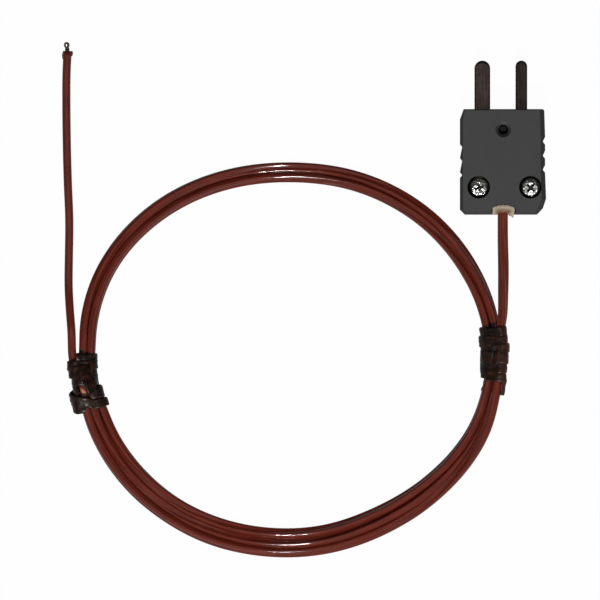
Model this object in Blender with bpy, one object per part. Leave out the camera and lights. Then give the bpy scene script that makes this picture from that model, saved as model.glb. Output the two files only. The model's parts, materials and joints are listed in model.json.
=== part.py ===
"""Thermocouple probe lying on a bench: a miniature flat blade plug on its back, a thin two-core lead wound
into two and a half turns and held by two wire ties, and a bare welded hot junction at the lead's free end.

Metres, +Z up. The origin is under the middle of the plug, +Y runs along the blades to their tips."""

import math

import bmesh
import bpy
from mathutils import Matrix, Vector

# Plug body, seen from the front: +X is the narrow blade's side, the lead leaves at the back (-Y).
BODY_WIDTH = 0.01736
BODY_LENGTH = 0.02134
BODY_THICKNESS = 0.0080
BLADE_REACH = 0.00990

# Edges and corners of the body.
BEVEL_LEFT = 0.0005
BEVEL_RIGHT = 0.0009
BEVEL_BACK = 0.0006
BEVEL_FRONT = 0.00025
BEVEL_DEPTH = 0.0005
BASE_BEVEL = 0.0004
BACK_LEFT_CUT = 0.0010
BACK_RIGHT_CUT_X = 0.0018
BACK_RIGHT_CUT_Y = 0.0032
BACK_RIGHT_KNEE_X = 0.00065
BACK_RIGHT_KNEE_Y = 0.00123
FRONT_LEFT_CUT_X = 0.0007
FRONT_LEFT_CUT_Y = 0.0020
FRONT_RIGHT_CUT = 0.0003
FRONT_RIGHT_LEAN = 0.00036
GRIP_RIGHT_LEAN = 0.0002

# Finger grips: three saw teeth in each side.
GRIP_NOTCHES = 3
GRIP_PITCH = 0.00285
GRIP_DEPTH = 0.00045
GRIP_STEEP = 0.0006
GRIP_SLOW = 0.0010
GRIP_LEFT_FROM_FRONT = 0.0070
GRIP_RIGHT_FROM_FRONT = 0.0056

# Clearances between pieces that touch.
FIT_GAP = 0.0001
SPLIT_GAP = 0.0001
CORD_GAP = 0.0003
REST_GAP = 0.00005
CUT_PAST = 0.0005

# Blades and the terminal plates at their inner ends.
BLADE_SPACING = 0.00792
BLADE_MIDDLE_X = -0.00022
WIDE_BLADE = 0.00318
NARROW_BLADE = 0.00236
BLADE_THICKNESS = 0.0008
BLADE_EDGE = 0.00012
TERMINAL_PLATE = 0.0040

# Clamp screws, in two round wells of the cover.
SCREW_SPACING = 0.01045
SCREW_MIDDLE_X = 0.00025
SCREW_FROM_BACK = 0.0055
WELL_DIAMETER = 0.0046
SCREW_HEAD_DIAMETER = 0.0034
SCREW_HEAD_HEIGHT = 0.0016
SCREW_DOME = 0.0006
SCREW_SHANK_DIAMETER = 0.0022
SCREW_HOLE_DIAMETER = 0.0024
CROSS_LENGTH = 0.0021
CROSS_WIDTH = 0.00055
CROSS_DEPTH = 0.0009
CROSS_TURNS = (math.radians(12), math.radians(38))
CLAMP_PLATE = 0.0038
CLAMP_PLATE_THICKNESS = 0.0004
NUT_SIDE = 0.0032
NUT_HEIGHT = 0.0015

# Screw that holds the two shells together, put in from the rear.
COVER_SCREW_X = 0.0
COVER_SCREW_FROM_FRONT = 0.00415
COVER_HEAD_DIAMETER = 0.0040
COVER_HEAD_HEIGHT = 0.0012
COVER_SHANK_DIAMETER = 0.0018
COVER_SHANK_END = 0.0014
DISH_DIAMETER = 0.0032
DISH_DEPTH = 0.0008

# Locating pegs of the base, beside the blades.
PEG_DIAMETER = 0.0012
PEG_HEIGHT = 0.0014
PEG_SPREAD = 0.0141
PEG_FROM_FRONT = 0.0036

# Cable mouth and the soft grommet in it.
MOUTH_X = 0.00006
MOUTH_WIDTH = 0.0049
MOUTH_BACK_WIDTH = 0.0042
MOUTH_DEPTH = 0.0013
MOUTH_FROM_BACK = 0.0007
GROMMET_HEIGHT = 0.0048
CHANNEL_WIDTH = 0.0030
CHANNEL_HEIGHT = 0.0030
CABLE_STRIP_FROM_BACK = 0.0024

# Lead: a softened oval of two cores.
CORD_DIAMETER = 0.0019
CORE_DIAMETER = 0.0009
WIRE_DIAMETER = 0.0005
WIRE_PAST_SCREW = 0.0006

# Coil: the middle line of its strands is a slightly oval ring.
COIL_FROM_MOUTH_X = -0.04352
COIL_FROM_MOUTH_Y = -0.02877
COIL_RADIUS = 0.03964
COIL_OVAL = 0.00187
COIL_LOBE = 0.00019
COIL_LOBE_TURN = math.radians(8)
LANE_PITCH = 0.0021
TIGHT_PITCH = 0.00170
LAYER_PITCH = 0.0017
SPREAD_RIGHT = math.radians(40)
SPREAD_LEFT = math.radians(26)
CORNER_SHARE = 0.55

# Wire ties around the strands, as angles on the coil, anticlockwise from +X.
RIGHT_TIE = (math.radians(-10.3), math.radians(8.0))
LEFT_TIE = (math.radians(179.0), math.radians(196.7))
TIE_WALL = 0.00075
RIGHT_TIE_ROOM = 0.0028
LEFT_TIE_ROOM = 0.0032
TIE_WRAPS = 5
TIE_STEP = 0.0003
TIE_CORNER_SHARE = 0.75

# Free end: two bare wires welded into a bead.
TIP_WIRE_DIAMETER = 0.0003
TIP_WIRE_SPREAD = 0.0008
BEAD_DIAMETER = 0.0012
BEAD_FROM_JACKET = 0.0015
BEAD_SIDE = -0.0002

ROUND = 32
WIRE_ROUND = 10
RING_STEPS = 96

# Planes and centres that follow from the sizes above.
BACK_Y = -(BODY_LENGTH + BLADE_REACH) / 2
FRONT_Y = BACK_Y + BODY_LENGTH
TIP_Y = FRONT_Y + BLADE_REACH
SPLIT_Z = BODY_THICKNESS / 2
BLADE_LOW = SPLIT_Z - BLADE_THICKNESS / 2
BLADE_HIGH = SPLIT_Z + BLADE_THICKNESS / 2
SCREW_Y = BACK_Y + SCREW_FROM_BACK
WIRE_Z = BLADE_HIGH + FIT_GAP + WIRE_DIAMETER / 2
WIRE_Y = SCREW_Y - SCREW_SHANK_DIAMETER / 2 - 1.5 * FIT_GAP - WIRE_DIAMETER / 2
CLAMP_LOW = WIRE_Z + WIRE_DIAMETER / 2 + FIT_GAP
CLAMP_HIGH = CLAMP_LOW + CLAMP_PLATE_THICKNESS
HEAD_LOW = CLAMP_HIGH + FIT_GAP
ROOF_Z = CLAMP_HIGH + 1.5 * FIT_GAP
NUT_HIGH = BLADE_LOW - 1.5 * FIT_GAP
NUT_LOW = NUT_HIGH - NUT_HEIGHT
SHANK_LOW = NUT_LOW + FIT_GAP
CHANNEL_BACK = BACK_Y + MOUTH_FROM_BACK + MOUTH_DEPTH / 2
COVER_SCREW_Y = FRONT_Y - COVER_SCREW_FROM_FRONT
MOUTH = Vector((MOUTH_X, BACK_Y, SPLIT_Z))
COIL_CENTRE = Vector((MOUTH_X + COIL_FROM_MOUTH_X, BACK_Y + COIL_FROM_MOUTH_Y, 0))
CORD_RADIUS = CORD_DIAMETER / 2
TIE_LIFT = TIE_WALL + 1.5 * FIT_GAP
UPPER_Z = TIE_LIFT + LAYER_PITCH + CORD_RADIUS
LEAD_OFFSET = RIGHT_TIE_ROOM - CORD_RADIUS - FIT_GAP
TAIL_OFFSET = LEFT_TIE_ROOM - CORD_RADIUS - FIT_GAP
JOIN_OFFSET = TIGHT_PITCH / 2

WIDE_X = BLADE_MIDDLE_X - BLADE_SPACING / 2
NARROW_X = BLADE_MIDDLE_X + BLADE_SPACING / 2
WIDE_SCREW_X = SCREW_MIDDLE_X - SCREW_SPACING / 2
NARROW_SCREW_X = SCREW_MIDDLE_X + SCREW_SPACING / 2

# Each blade with its terminal: name, blade centre, blade width, screw centre, turn of the cross recess.
TERMINALS = (
    ("wide", WIDE_X, WIDE_BLADE, WIDE_SCREW_X, CROSS_TURNS[0]),
    ("narrow", NARROW_X, NARROW_BLADE, NARROW_SCREW_X, CROSS_TURNS[1]),
)

# Routes of the lead outside the coil, in metres from the cable mouth. The third number is a height above
# the lead's own height on the bench.
LEAD_ROUTE = (
    (0.0, -0.0050, 0.0028),
    (0.0001, -0.0110, 0.0024),
    (0.0, -0.0165, 0.0022),
    (-0.0001, -0.0208, 0.0024),
)
TAIL_ROUTE = (
    (-0.0876, -0.0240, 0.0020),
    (-0.0880, -0.0190, 0.0009),
    (-0.08825, -0.0143, 0.0002),
    (-0.0882, -0.0092, 0.0),
    (-0.0881, -0.0013, 0.0),
    (-0.0884, 0.0064, 0.0),
    (-0.0886, 0.0141, 0.0),
    (-0.0887, 0.0220, 0.0),
    (-0.0886, 0.0283, 0.0),
    (-0.0884, 0.0330, 0.0),
)


def clear_scene():
    for obj in list(bpy.data.objects):
        bpy.data.objects.remove(obj, do_unlink=True)


def finish(name, color, roughness, metallic=0.0):
    """A Principled material of one colour."""
    material = bpy.data.materials.new(name)
    material.use_nodes = True
    shader = material.node_tree.nodes["Principled BSDF"]
    shader.inputs["Base Color"].default_value = (*color, 1.0)
    shader.inputs["Roughness"].default_value = roughness
    shader.inputs["Metallic"].default_value = metallic
    return material


def link(name, bm, material=None):
    """An object made from a bmesh, with its faces turned outwards."""
    bmesh.ops.recalc_face_normals(bm, faces=bm.faces)
    mesh = bpy.data.meshes.new(name)
    bm.to_mesh(mesh)
    bm.free()
    obj = bpy.data.objects.new(name, mesh)
    bpy.context.scene.collection.objects.link(obj)
    if material:
        mesh.materials.append(material)
    return obj


def smooth(obj, degrees=35):
    obj.data.shade_smooth()
    obj.data.set_sharp_from_angle(angle=math.radians(degrees))
    return obj


def cutter(obj):
    """Marks a helper that only shapes its neighbours."""
    obj.hide_render = True
    obj.display_type = "WIRE"
    return obj


def combine(obj, others, operation="DIFFERENCE"):
    for other in others:
        modifier = obj.modifiers.new(other.name, "BOOLEAN")
        modifier.object = cutter(other)
        modifier.operation = operation
        modifier.solver = "EXACT"


def skin(bm, pairs):
    """Faces between each pair of closed loops with the same number of points."""
    for first, second in pairs:
        for i in range(len(first)):
            j = (i + 1) % len(first)
            bm.faces.new((first[i], first[j], second[j], second[i]))


def loft(name, rings, material=None):
    """A solid skinned over rings of points, its first and last ring capped."""
    bm = bmesh.new()
    loops = [[bm.verts.new(point) for point in ring] for ring in rings]
    skin(bm, zip(loops, loops[1:]))
    bm.faces.new(loops[0])
    bm.faces.new(loops[-1])
    return link(name, bm, material)


def prism(name, outline, low, high, material=None):
    """An outline in XY, extruded from one height to another."""
    bm = bmesh.new()
    face = bm.faces.new([bm.verts.new((x, y, low)) for x, y in outline])
    raised = bmesh.ops.extrude_face_region(bm, geom=[face])["geom"]
    top = [part for part in raised if isinstance(part, bmesh.types.BMVert)]
    bmesh.ops.translate(bm, vec=(0, 0, high - low), verts=top)
    return link(name, bm, material)


def turned(name, profile, x, y, material=None):
    """A profile of radii and heights, from axis to axis, spun about a vertical axis."""
    bm = bmesh.new()
    verts = [bm.verts.new((x + radius, y, z)) for radius, z in profile]
    edges = [bm.edges.new(pair) for pair in zip(verts, verts[1:])]
    bmesh.ops.spin(bm, geom=verts + edges, cent=(x, y, 0), axis=(0, 0, 1), angle=2 * math.pi, steps=ROUND)
    bmesh.ops.remove_doubles(bm, verts=bm.verts, dist=1e-7)
    return link(name, bm, material)


def rectangle(x_low, x_high, y_low, y_high):
    return [(x_low, y_low), (x_high, y_low), (x_high, y_high), (x_low, y_high)]


def square(x, y, side):
    return rectangle(x - side / 2, x + side / 2, y - side / 2, y + side / 2)


def circle(x, y, diameter):
    angles = (2 * math.pi * i / ROUND for i in range(ROUND))
    return [(x + diameter / 2 * math.cos(a), y + diameter / 2 * math.sin(a)) for a in angles]


def grip_notches(side_x, inward, start_y, inset, steep_first):
    """Saw teeth down one side, from front to back. Each notch has one steep flank and one slow one."""
    depth = inward * max(GRIP_DEPTH, inset)
    edge = inward * inset
    points = []
    for i in range(GRIP_NOTCHES):
        top = start_y - i * GRIP_PITCH
        entry = GRIP_STEEP if steep_first else GRIP_SLOW
        leave = GRIP_PITCH - GRIP_STEEP if steep_first else GRIP_STEEP
        if steep_first and i == GRIP_NOTCHES - 1:
            leave = GRIP_STEEP
        points += [(side_x + edge, top), (side_x + depth, top - entry)]
        if not steep_first or i == GRIP_NOTCHES - 1:
            points.append((side_x + edge, top - entry - leave))
    return points


def body_outline(left=0.0, right=0.0, back=0.0, front=0.0):
    """Outline of the body, anticlockwise from the back left corner, each side moved inwards by its inset."""
    low_x = -BODY_WIDTH / 2
    high_x = BODY_WIDTH / 2
    front_x = high_x - FRONT_RIGHT_LEAN
    # A corner's cut keeps its width as its sides move in: its ends then move by this share of the inset.
    share = math.tan(math.radians(22.5))
    points = [
        (low_x + BACK_LEFT_CUT + share * left, BACK_Y + back),
        (high_x - BACK_RIGHT_CUT_X - share * right, BACK_Y + back),
        (high_x - BACK_RIGHT_KNEE_X - right, BACK_Y + BACK_RIGHT_KNEE_Y + share * back),
        (high_x - right, BACK_Y + BACK_RIGHT_CUT_Y),
    ]
    grip_x = high_x - GRIP_RIGHT_LEAN
    points += reversed(grip_notches(grip_x, -1, FRONT_Y - GRIP_RIGHT_FROM_FRONT, right, False))
    points += [
        (front_x - right, FRONT_Y - FRONT_RIGHT_CUT - share * front),
        (front_x - FRONT_RIGHT_CUT - share * right, FRONT_Y - front),
        (low_x + FRONT_LEFT_CUT_X + share * left, FRONT_Y - front),
        (low_x + left, FRONT_Y - FRONT_LEFT_CUT_Y),
    ]
    points += grip_notches(low_x, 1, FRONT_Y - GRIP_LEFT_FROM_FRONT, left, True)
    points.append((low_x + left, BACK_Y + BACK_LEFT_CUT))
    return points


def at_height(outline, z):
    return [(x, y, z) for x, y in outline]


def mouth_outline(clearance, past):
    """The cable mouth: half an oval, with sides that close in towards the back face and past it."""
    half_width = MOUTH_WIDTH / 2 + clearance
    back_half = MOUTH_BACK_WIDTH / 2 + clearance
    depth = MOUTH_DEPTH + clearance
    points = []
    for i in range(ROUND // 2 + 1):
        angle = 2 * math.pi * i / ROUND
        y = BACK_Y + MOUTH_FROM_BACK + depth * math.sin(angle)
        points.append((MOUTH_X + half_width * math.cos(angle), y))
    points.append((MOUTH_X - back_half, BACK_Y))
    if past:
        points += [(MOUTH_X - back_half, BACK_Y - past), (MOUTH_X + back_half, BACK_Y - past)]
    points.append((MOUTH_X + back_half, BACK_Y))
    return points


def terminal_cuts(shell, low, high, channel_low):
    """What both shells share: room for the blades, the terminal plates, the wires and the lead's end."""
    cuts = []
    for name, blade_x, width, screw_x, _ in TERMINALS:
        plate = square(screw_x, SCREW_Y, TERMINAL_PLATE + 2 * FIT_GAP)
        half = width / 2 + FIT_GAP
        slot = rectangle(blade_x - half, blade_x + half, SCREW_Y + TERMINAL_PLATE / 4, FRONT_Y + CUT_PAST)
        cuts.append(prism(f"{shell}_plate_room_{name}", plate, low, high))
        cuts.append(prism(f"{shell}_blade_slot_{name}", slot, low, min(high, BLADE_HIGH + FIT_GAP)))
    half = CHANNEL_WIDTH / 2
    channel = rectangle(MOUTH_X - half, MOUTH_X + half, CHANNEL_BACK, WIRE_Y + CORE_DIAMETER)
    half = CORE_DIAMETER * 0.75
    crossing = rectangle(WIDE_SCREW_X, NARROW_SCREW_X, WIRE_Y - half, WIRE_Y + half)
    cuts.append(prism(f"{shell}_channel", channel, channel_low, high))
    cuts.append(prism(f"{shell}_crossing", crossing, low, high))
    return cuts


def plug_base(material):
    """Rear shell: floor, nut pockets, the lower half of each room and the screw's counterbore."""
    top = SPLIT_Z - SPLIT_GAP / 2
    above = top + CUT_PAST
    lower = body_outline(BASE_BEVEL, BASE_BEVEL, BASE_BEVEL, BASE_BEVEL)
    rings = [at_height(lower, 0.0), at_height(body_outline(), BASE_BEVEL), at_height(body_outline(), top)]
    base = loft("plug_base", rings, material)
    cuts = terminal_cuts("base", BLADE_LOW - FIT_GAP, above, SPLIT_Z - CHANNEL_HEIGHT / 2)
    for name, _, _, screw_x, _ in TERMINALS:
        pocket = square(screw_x, SCREW_Y, NUT_SIDE + 2 * FIT_GAP)
        cuts.append(prism(f"base_nut_pocket_{name}", pocket, NUT_LOW - FIT_GAP, above))
    grommet_low = SPLIT_Z - GROMMET_HEIGHT / 2 - FIT_GAP
    cuts.append(prism("base_mouth", mouth_outline(FIT_GAP, CUT_PAST), grommet_low, above))
    hole = circle(COVER_SCREW_X, COVER_SCREW_Y, COVER_SHANK_DIAMETER + 4 * FIT_GAP)
    bore = circle(COVER_SCREW_X, COVER_SCREW_Y, COVER_HEAD_DIAMETER + 4 * FIT_GAP)
    cuts.append(prism("base_screw_hole", hole, -CUT_PAST, above))
    cuts.append(prism("base_counterbore", bore, -CUT_PAST, COVER_HEAD_HEIGHT + 4 * FIT_GAP))
    pegs = []
    for name, x in (("left", -PEG_SPREAD / 2), ("right", PEG_SPREAD / 2)):
        outline = circle(x, FRONT_Y - PEG_FROM_FRONT, PEG_DIAMETER)
        pegs.append(prism(f"base_peg_{name}", outline, top - CUT_PAST, top + PEG_HEIGHT))
    combine(base, cuts)
    combine(base, pegs, "UNION")
    return base


def plug_cover(material):
    """Front shell: screw wells, the notch over the grommet, and the boss with the through hole."""
    bottom = SPLIT_Z + SPLIT_GAP / 2
    below = bottom - CUT_PAST
    above = BODY_THICKNESS + CUT_PAST
    upper = body_outline(BEVEL_LEFT, BEVEL_RIGHT, BEVEL_BACK, BEVEL_FRONT)
    rings = [
        at_height(body_outline(), bottom),
        at_height(body_outline(), BODY_THICKNESS - BEVEL_DEPTH),
        at_height(upper, BODY_THICKNESS),
    ]
    cover = loft("plug_cover", rings, material)
    cuts = terminal_cuts("cover", below, ROOF_Z, below)
    for name, _, _, screw_x, _ in TERMINALS:
        cuts.append(prism(f"cover_well_{name}", circle(screw_x, SCREW_Y, WELL_DIAMETER), below, above))
    cuts.append(prism("cover_mouth", mouth_outline(FIT_GAP, CUT_PAST), below, above))
    hole = circle(COVER_SCREW_X, COVER_SCREW_Y, COVER_SHANK_DIAMETER + 2 * FIT_GAP)
    cuts.append(prism("cover_screw_hole", hole, below, above))
    rim = DISH_DIAMETER / 2
    dish = [(0.0, BODY_THICKNESS - DISH_DEPTH), (rim, BODY_THICKNESS), (rim, above), (0.0, above)]
    cuts.append(turned("cover_dish", dish, COVER_SCREW_X, COVER_SCREW_Y))
    for name, x in (("left", -PEG_SPREAD / 2), ("right", PEG_SPREAD / 2)):
        outline = circle(x, FRONT_Y - PEG_FROM_FRONT, PEG_DIAMETER + 2 * FIT_GAP)
        cuts.append(prism(f"cover_peg_hole_{name}", outline, below, bottom + PEG_HEIGHT + FIT_GAP))
    combine(cover, cuts)
    return cover


def blade(name, blade_x, width, screw_x, material):
    """A flat blade with a round tip, widened at its inner end into a terminal plate with a screw hole."""
    half = TERMINAL_PLATE / 2
    shoulder = SCREW_Y + half
    radius = width / 2
    points = [
        (screw_x - half, SCREW_Y - half),
        (screw_x + half, SCREW_Y - half),
        (screw_x + half, shoulder),
        (blade_x + radius, shoulder),
    ]
    steps = ROUND // 2
    for i in range(steps + 1):
        angle = math.pi * i / steps
        points.append((blade_x + radius * math.cos(angle), TIP_Y - radius + radius * math.sin(angle)))
    points += [(blade_x - radius, shoulder), (screw_x - half, shoulder)]
    obj = prism(f"blade_{name}", points, BLADE_LOW, BLADE_HIGH, material)
    edge = obj.modifiers.new("edge", "BEVEL")
    edge.width = BLADE_EDGE
    edge.segments = 2
    edge.limit_method = "ANGLE"
    hole = circle(screw_x, SCREW_Y, SCREW_HOLE_DIAMETER)
    combine(obj, [prism(f"blade_hole_{name}", hole, BLADE_LOW - CUT_PAST, BLADE_HIGH + CUT_PAST)])
    return smooth(obj)


def screw_profile(head_radius, shank_radius, head_height, dome, shank):
    """Pan head with its top at zero and its shank pointing down, from axis to axis."""
    dome_steps = 6
    profile = []
    for i in range(dome_steps + 1):
        angle = math.pi / 2 * i / dome_steps
        profile.append((head_radius * math.sin(angle), dome * (math.cos(angle) - 1)))
    profile += [(head_radius, -head_height), (shank_radius, -head_height)]
    chamfer = shank_radius / 4
    end = -head_height - shank
    return profile + [(shank_radius, end + chamfer), (shank_radius - chamfer, end), (0.0, end)]


def cross_outline(length, width, turn, x, y):
    """A plus sign, turned about its centre."""
    long = length / 2
    short = width / 2
    points = []
    for quarter in range(4):
        cos, sin = math.cos(turn + quarter * math.pi / 2), math.sin(turn + quarter * math.pi / 2)
        for px, py in ((long, -short), (long, short), (short, short)):
            points.append((x + px * cos - py * sin, y + px * sin + py * cos))
    return points


def cross_recess(name, x, y, top, inward, turn):
    """Tapered cross recess that opens at a head's top and goes in by its depth."""
    taper = 0.45
    outer = cross_outline(CROSS_LENGTH, CROSS_WIDTH, turn, x, y)
    inner = cross_outline(CROSS_LENGTH * taper, CROSS_WIDTH * taper, turn, x, y)
    bottom = at_height(inner, top + inward * CROSS_DEPTH)
    return loft(name, [bottom, at_height(outer, top), at_height(outer, top - inward * CUT_PAST)])


def clamp_screw(name, x, turn, material):
    top = HEAD_LOW + SCREW_HEAD_HEIGHT
    shank = HEAD_LOW - SHANK_LOW
    radii = SCREW_HEAD_DIAMETER / 2, SCREW_SHANK_DIAMETER / 2
    profile = [(radius, top + z) for radius, z in screw_profile(*radii, SCREW_HEAD_HEIGHT, SCREW_DOME, shank)]
    obj = turned(f"clamp_screw_{name}", profile, x, SCREW_Y, material)
    combine(obj, [cross_recess(f"clamp_recess_{name}", x, SCREW_Y, top, -1, turn)])
    return smooth(obj)


def cover_screw(material):
    """Screw from the rear, its head in the counterbore and its end just below the front face."""
    low = FIT_GAP * 2
    shank = BODY_THICKNESS - COVER_SHANK_END - low - COVER_HEAD_HEIGHT
    radii = COVER_HEAD_DIAMETER / 2, COVER_SHANK_DIAMETER / 2
    dome = COVER_HEAD_HEIGHT / 4
    profile = [(radius, low - z) for radius, z in screw_profile(*radii, COVER_HEAD_HEIGHT, dome, shank)]
    obj = turned("cover_screw", profile, COVER_SCREW_X, COVER_SCREW_Y, material)
    combine(obj, [cross_recess("cover_screw_recess", COVER_SCREW_X, COVER_SCREW_Y, low, 1, 0.0)])
    return smooth(obj)


def drilled_plate(name, x, side, low, high, material):
    """A square plate with a screw hole."""
    obj = prism(name, square(x, SCREW_Y, side), low, high, material)
    hole = circle(x, SCREW_Y, SCREW_HOLE_DIAMETER)
    combine(obj, [prism(f"{name}_hole", hole, low - CUT_PAST, high + CUT_PAST)])
    return obj


def grommet(material):
    """Soft block that fills the mouth, with a bore for the lead."""
    low = SPLIT_Z - GROMMET_HEIGHT / 2
    obj = prism("cable_grommet", mouth_outline(0.0, 0.0), low, low + GROMMET_HEIGHT, material)
    bm = bmesh.new()
    radius = CORD_RADIUS + FIT_GAP
    sizes = {"radius1": radius, "radius2": radius, "depth": BODY_LENGTH}
    bmesh.ops.create_cone(bm, cap_ends=True, segments=ROUND, **sizes)
    bmesh.ops.rotate(bm, verts=bm.verts, matrix=Matrix.Rotation(math.pi / 2, 3, "X"))
    bmesh.ops.translate(bm, verts=bm.verts, vec=MOUTH)
    combine(obj, [link("grommet_bore", bm)])
    return obj


def smooth_route(points, spacing):
    """Points at an even spacing along a Catmull-Rom curve through the route's own points."""
    fine = 24
    ends = [points[0] * 2 - points[1], *points, points[-1] * 2 - points[-2]]
    dense = []
    for a, b, c, d in zip(ends, ends[1:], ends[2:], ends[3:]):
        for i in range(fine):
            t = i / fine
            square_term = (2 * a - 5 * b + 4 * c - d) * t * t
            cube_term = (3 * b - a - 3 * c + d) * t**3
            dense.append(0.5 * (2 * b + (c - a) * t + square_term + cube_term))
    dense.append(points[-1])
    lengths = [0.0]
    for first, second in zip(dense, dense[1:]):
        lengths.append(lengths[-1] + (second - first).length)
    count = max(2, round(lengths[-1] / spacing))
    route = []
    k = 0
    for i in range(count + 1):
        wanted = lengths[-1] * i / count
        while k < len(dense) - 2 and lengths[k + 1] < wanted:
            k += 1
        share = (wanted - lengths[k]) / (lengths[k + 1] - lengths[k])
        route.append(dense[k].lerp(dense[k + 1], min(share, 1.0)))
    return route


def tube(name, points, diameter, material):
    """A round cord along points, with closed ends."""
    curve = bpy.data.curves.new(name, "CURVE")
    curve.dimensions = "3D"
    curve.bevel_depth = diameter / 2
    curve.bevel_resolution = 2
    curve.use_fill_caps = True
    spline = curve.splines.new("POLY")
    spline.points.add(len(points) - 1)
    for target, point in zip(spline.points, points):
        target.co = (*point, 1.0)
    spline.use_smooth = True
    curve.materials.append(material)
    obj = bpy.data.objects.new(name, curve)
    bpy.context.scene.collection.objects.link(obj)
    return obj


def inner_wiring(name, side, screw_x, core_material, wire_material):
    """A core from the stripped end of the lead to its terminal, and the bare wire that the clamp holds.
    Side is -1 or 1 along X."""
    start_y = BACK_Y + CABLE_STRIP_FROM_BACK + CORD_GAP
    start_x = MOUTH_X + side * (CORE_DIAMETER + FIT_GAP) / 2
    bend_x = start_x + side * CORE_DIAMETER / 2
    end_x = screw_x - side * (TERMINAL_PLATE / 2 + CORD_GAP)
    core = [
        Vector((start_x, start_y, SPLIT_Z)),
        Vector((start_x, (start_y + WIRE_Y) / 2, (SPLIT_Z * 2 + WIRE_Z) / 3)),
        Vector((bend_x, WIRE_Y, WIRE_Z)),
        Vector((end_x, WIRE_Y, WIRE_Z)),
    ]
    tube(f"core_{name}", smooth_route(core, CORE_DIAMETER / 2), CORE_DIAMETER, core_material)
    first = Vector((end_x + side * CORD_GAP, WIRE_Y, WIRE_Z))
    last = Vector((screw_x + side * WIRE_PAST_SCREW, WIRE_Y, WIRE_Z))
    bare = smooth_route([first, (first + last) / 2, last], WIRE_DIAMETER * 2)
    tube(f"wire_end_{name}", bare, WIRE_DIAMETER, wire_material)


def coil_radius(angle):
    """Distance from the coil's centre to the middle line of its strands."""
    oval = COIL_OVAL * math.cos(2 * angle)
    return COIL_RADIUS + oval + COIL_LOBE * math.cos(3 * (angle - COIL_LOBE_TURN))


def coil_point(angle, offset, z):
    radius = coil_radius(angle) + offset
    return COIL_CENTRE + Vector((radius * math.cos(angle), radius * math.sin(angle), z))


def rounded(inner, outer, low, high, corner):
    """A rectangle in offset and height, with three points round each corner."""
    middle = corner * (1 - math.sqrt(0.5))
    return [
        (inner, low + corner), (inner + middle, low + middle), (inner + corner, low),
        (outer - corner, low), (outer - middle, low + middle), (outer, low + corner),
        (outer, high - corner), (outer - middle, high - middle), (outer - corner, high),
        (inner + corner, high), (inner + middle, high - middle), (inner, high - corner),
    ]


def coil_sections():
    """Angle, half width, bottom and top of the coil where they change, anticlockwise from the right tie."""
    loose_two = LANE_PITCH / 2 + CORD_RADIUS
    tight_two = TIGHT_PITCH / 2 + CORD_RADIUS
    loose_three = LANE_PITCH + CORD_RADIUS
    nested = TIE_LIFT + LAYER_PITCH - FIT_GAP
    stacked = TIE_LIFT + LAYER_PITCH + CORD_DIAMETER
    right_middle = sum(RIGHT_TIE) / 2
    left_middle = sum(LEFT_TIE) / 2
    full = 2 * math.pi
    return [
        (right_middle, tight_two, TIE_LIFT, nested),
        (RIGHT_TIE[1], tight_two, TIE_LIFT, nested),
        (RIGHT_TIE[1] + SPREAD_RIGHT, loose_two, 0.0, CORD_DIAMETER),
        (LEFT_TIE[0] - SPREAD_LEFT, loose_two, 0.0, CORD_DIAMETER),
        (LEFT_TIE[0], tight_two, TIE_LIFT, nested),
        (left_middle, tight_two, TIE_LIFT, nested),
        (left_middle, tight_two, TIE_LIFT, stacked),
        (LEFT_TIE[1], tight_two, TIE_LIFT, stacked),
        (LEFT_TIE[1] + SPREAD_LEFT, loose_three, 0.0, CORD_DIAMETER),
        (RIGHT_TIE[0] + full - SPREAD_RIGHT, loose_three, 0.0, CORD_DIAMETER),
        (RIGHT_TIE[0] + full, tight_two, TIE_LIFT, stacked),
        (right_middle + full, tight_two, TIE_LIFT, stacked),
    ]


def cord_coil(material):
    """The outer shape of the wound strands. It steps up inside each tie, where the third strand joins."""
    keys = coil_sections()
    sections = []
    for first, second in zip(keys, keys[1:]):
        turn = second[0] - first[0]
        steps = max(1, round(turn / (2 * math.pi) * RING_STEPS))
        for i in range(steps):
            share = i / steps
            ease = share * share * (3 - 2 * share)
            sizes = [a + (b - a) * ease for a, b in zip(first[1:], second[1:])]
            sections.append((first[0] + turn * share, *sizes))
    sections.append(keys[-1])
    bm = bmesh.new()
    loops = []
    for angle, half, low, high in sections:
        profile = rounded(-half, half, low, high, CORD_RADIUS * CORNER_SHARE)
        loops.append([bm.verts.new(coil_point(angle, offset, z)) for offset, z in profile])
    skin(bm, zip(loops, loops[1:] + loops[:1]))
    return smooth(link("cord_coil", bm, material))


def tie(name, span, room, material):
    """Several wraps around the strands: one sleeve whose outside steps in and out from wrap to wrap."""
    inner = -(TIGHT_PITCH / 2 + CORD_RADIUS + 2 * FIT_GAP)
    top = TIE_LIFT + LAYER_PITCH + CORD_DIAMETER + 1.5 * FIT_GAP
    hole = rounded(inner, room, TIE_WALL, top, CORD_RADIUS * CORNER_SHARE)
    bm = bmesh.new()

    def ring(angle, profile):
        return [bm.verts.new(coil_point(angle, offset, z)) for offset, z in profile]

    ends = [span[0] + (span[1] - span[0]) * i / TIE_WRAPS for i in range(TIE_WRAPS + 1)]
    inner_loops = [ring(angle, hole) for angle in ends]
    outer_loops = []
    for wrap in range(TIE_WRAPS):
        wall = TIE_WALL - TIE_STEP * (wrap % 2)
        outside = rounded(inner - wall, room + wall, 0.0, top + wall, CORD_DIAMETER * TIE_CORNER_SHARE)
        outer_loops += [ring(ends[wrap], outside), ring(ends[wrap + 1], outside)]
    skin(bm, zip(outer_loops, outer_loops[1:]))
    skin(bm, zip(inner_loops, inner_loops[1:]))
    skin(bm, [(outer_loops[0], inner_loops[0]), (outer_loops[-1], inner_loops[-1])])
    return link(name, bm, material)


def from_mouth(x, y, height):
    return Vector((MOUTH_X + x, BACK_Y + y, CORD_RADIUS + REST_GAP + height))


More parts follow.
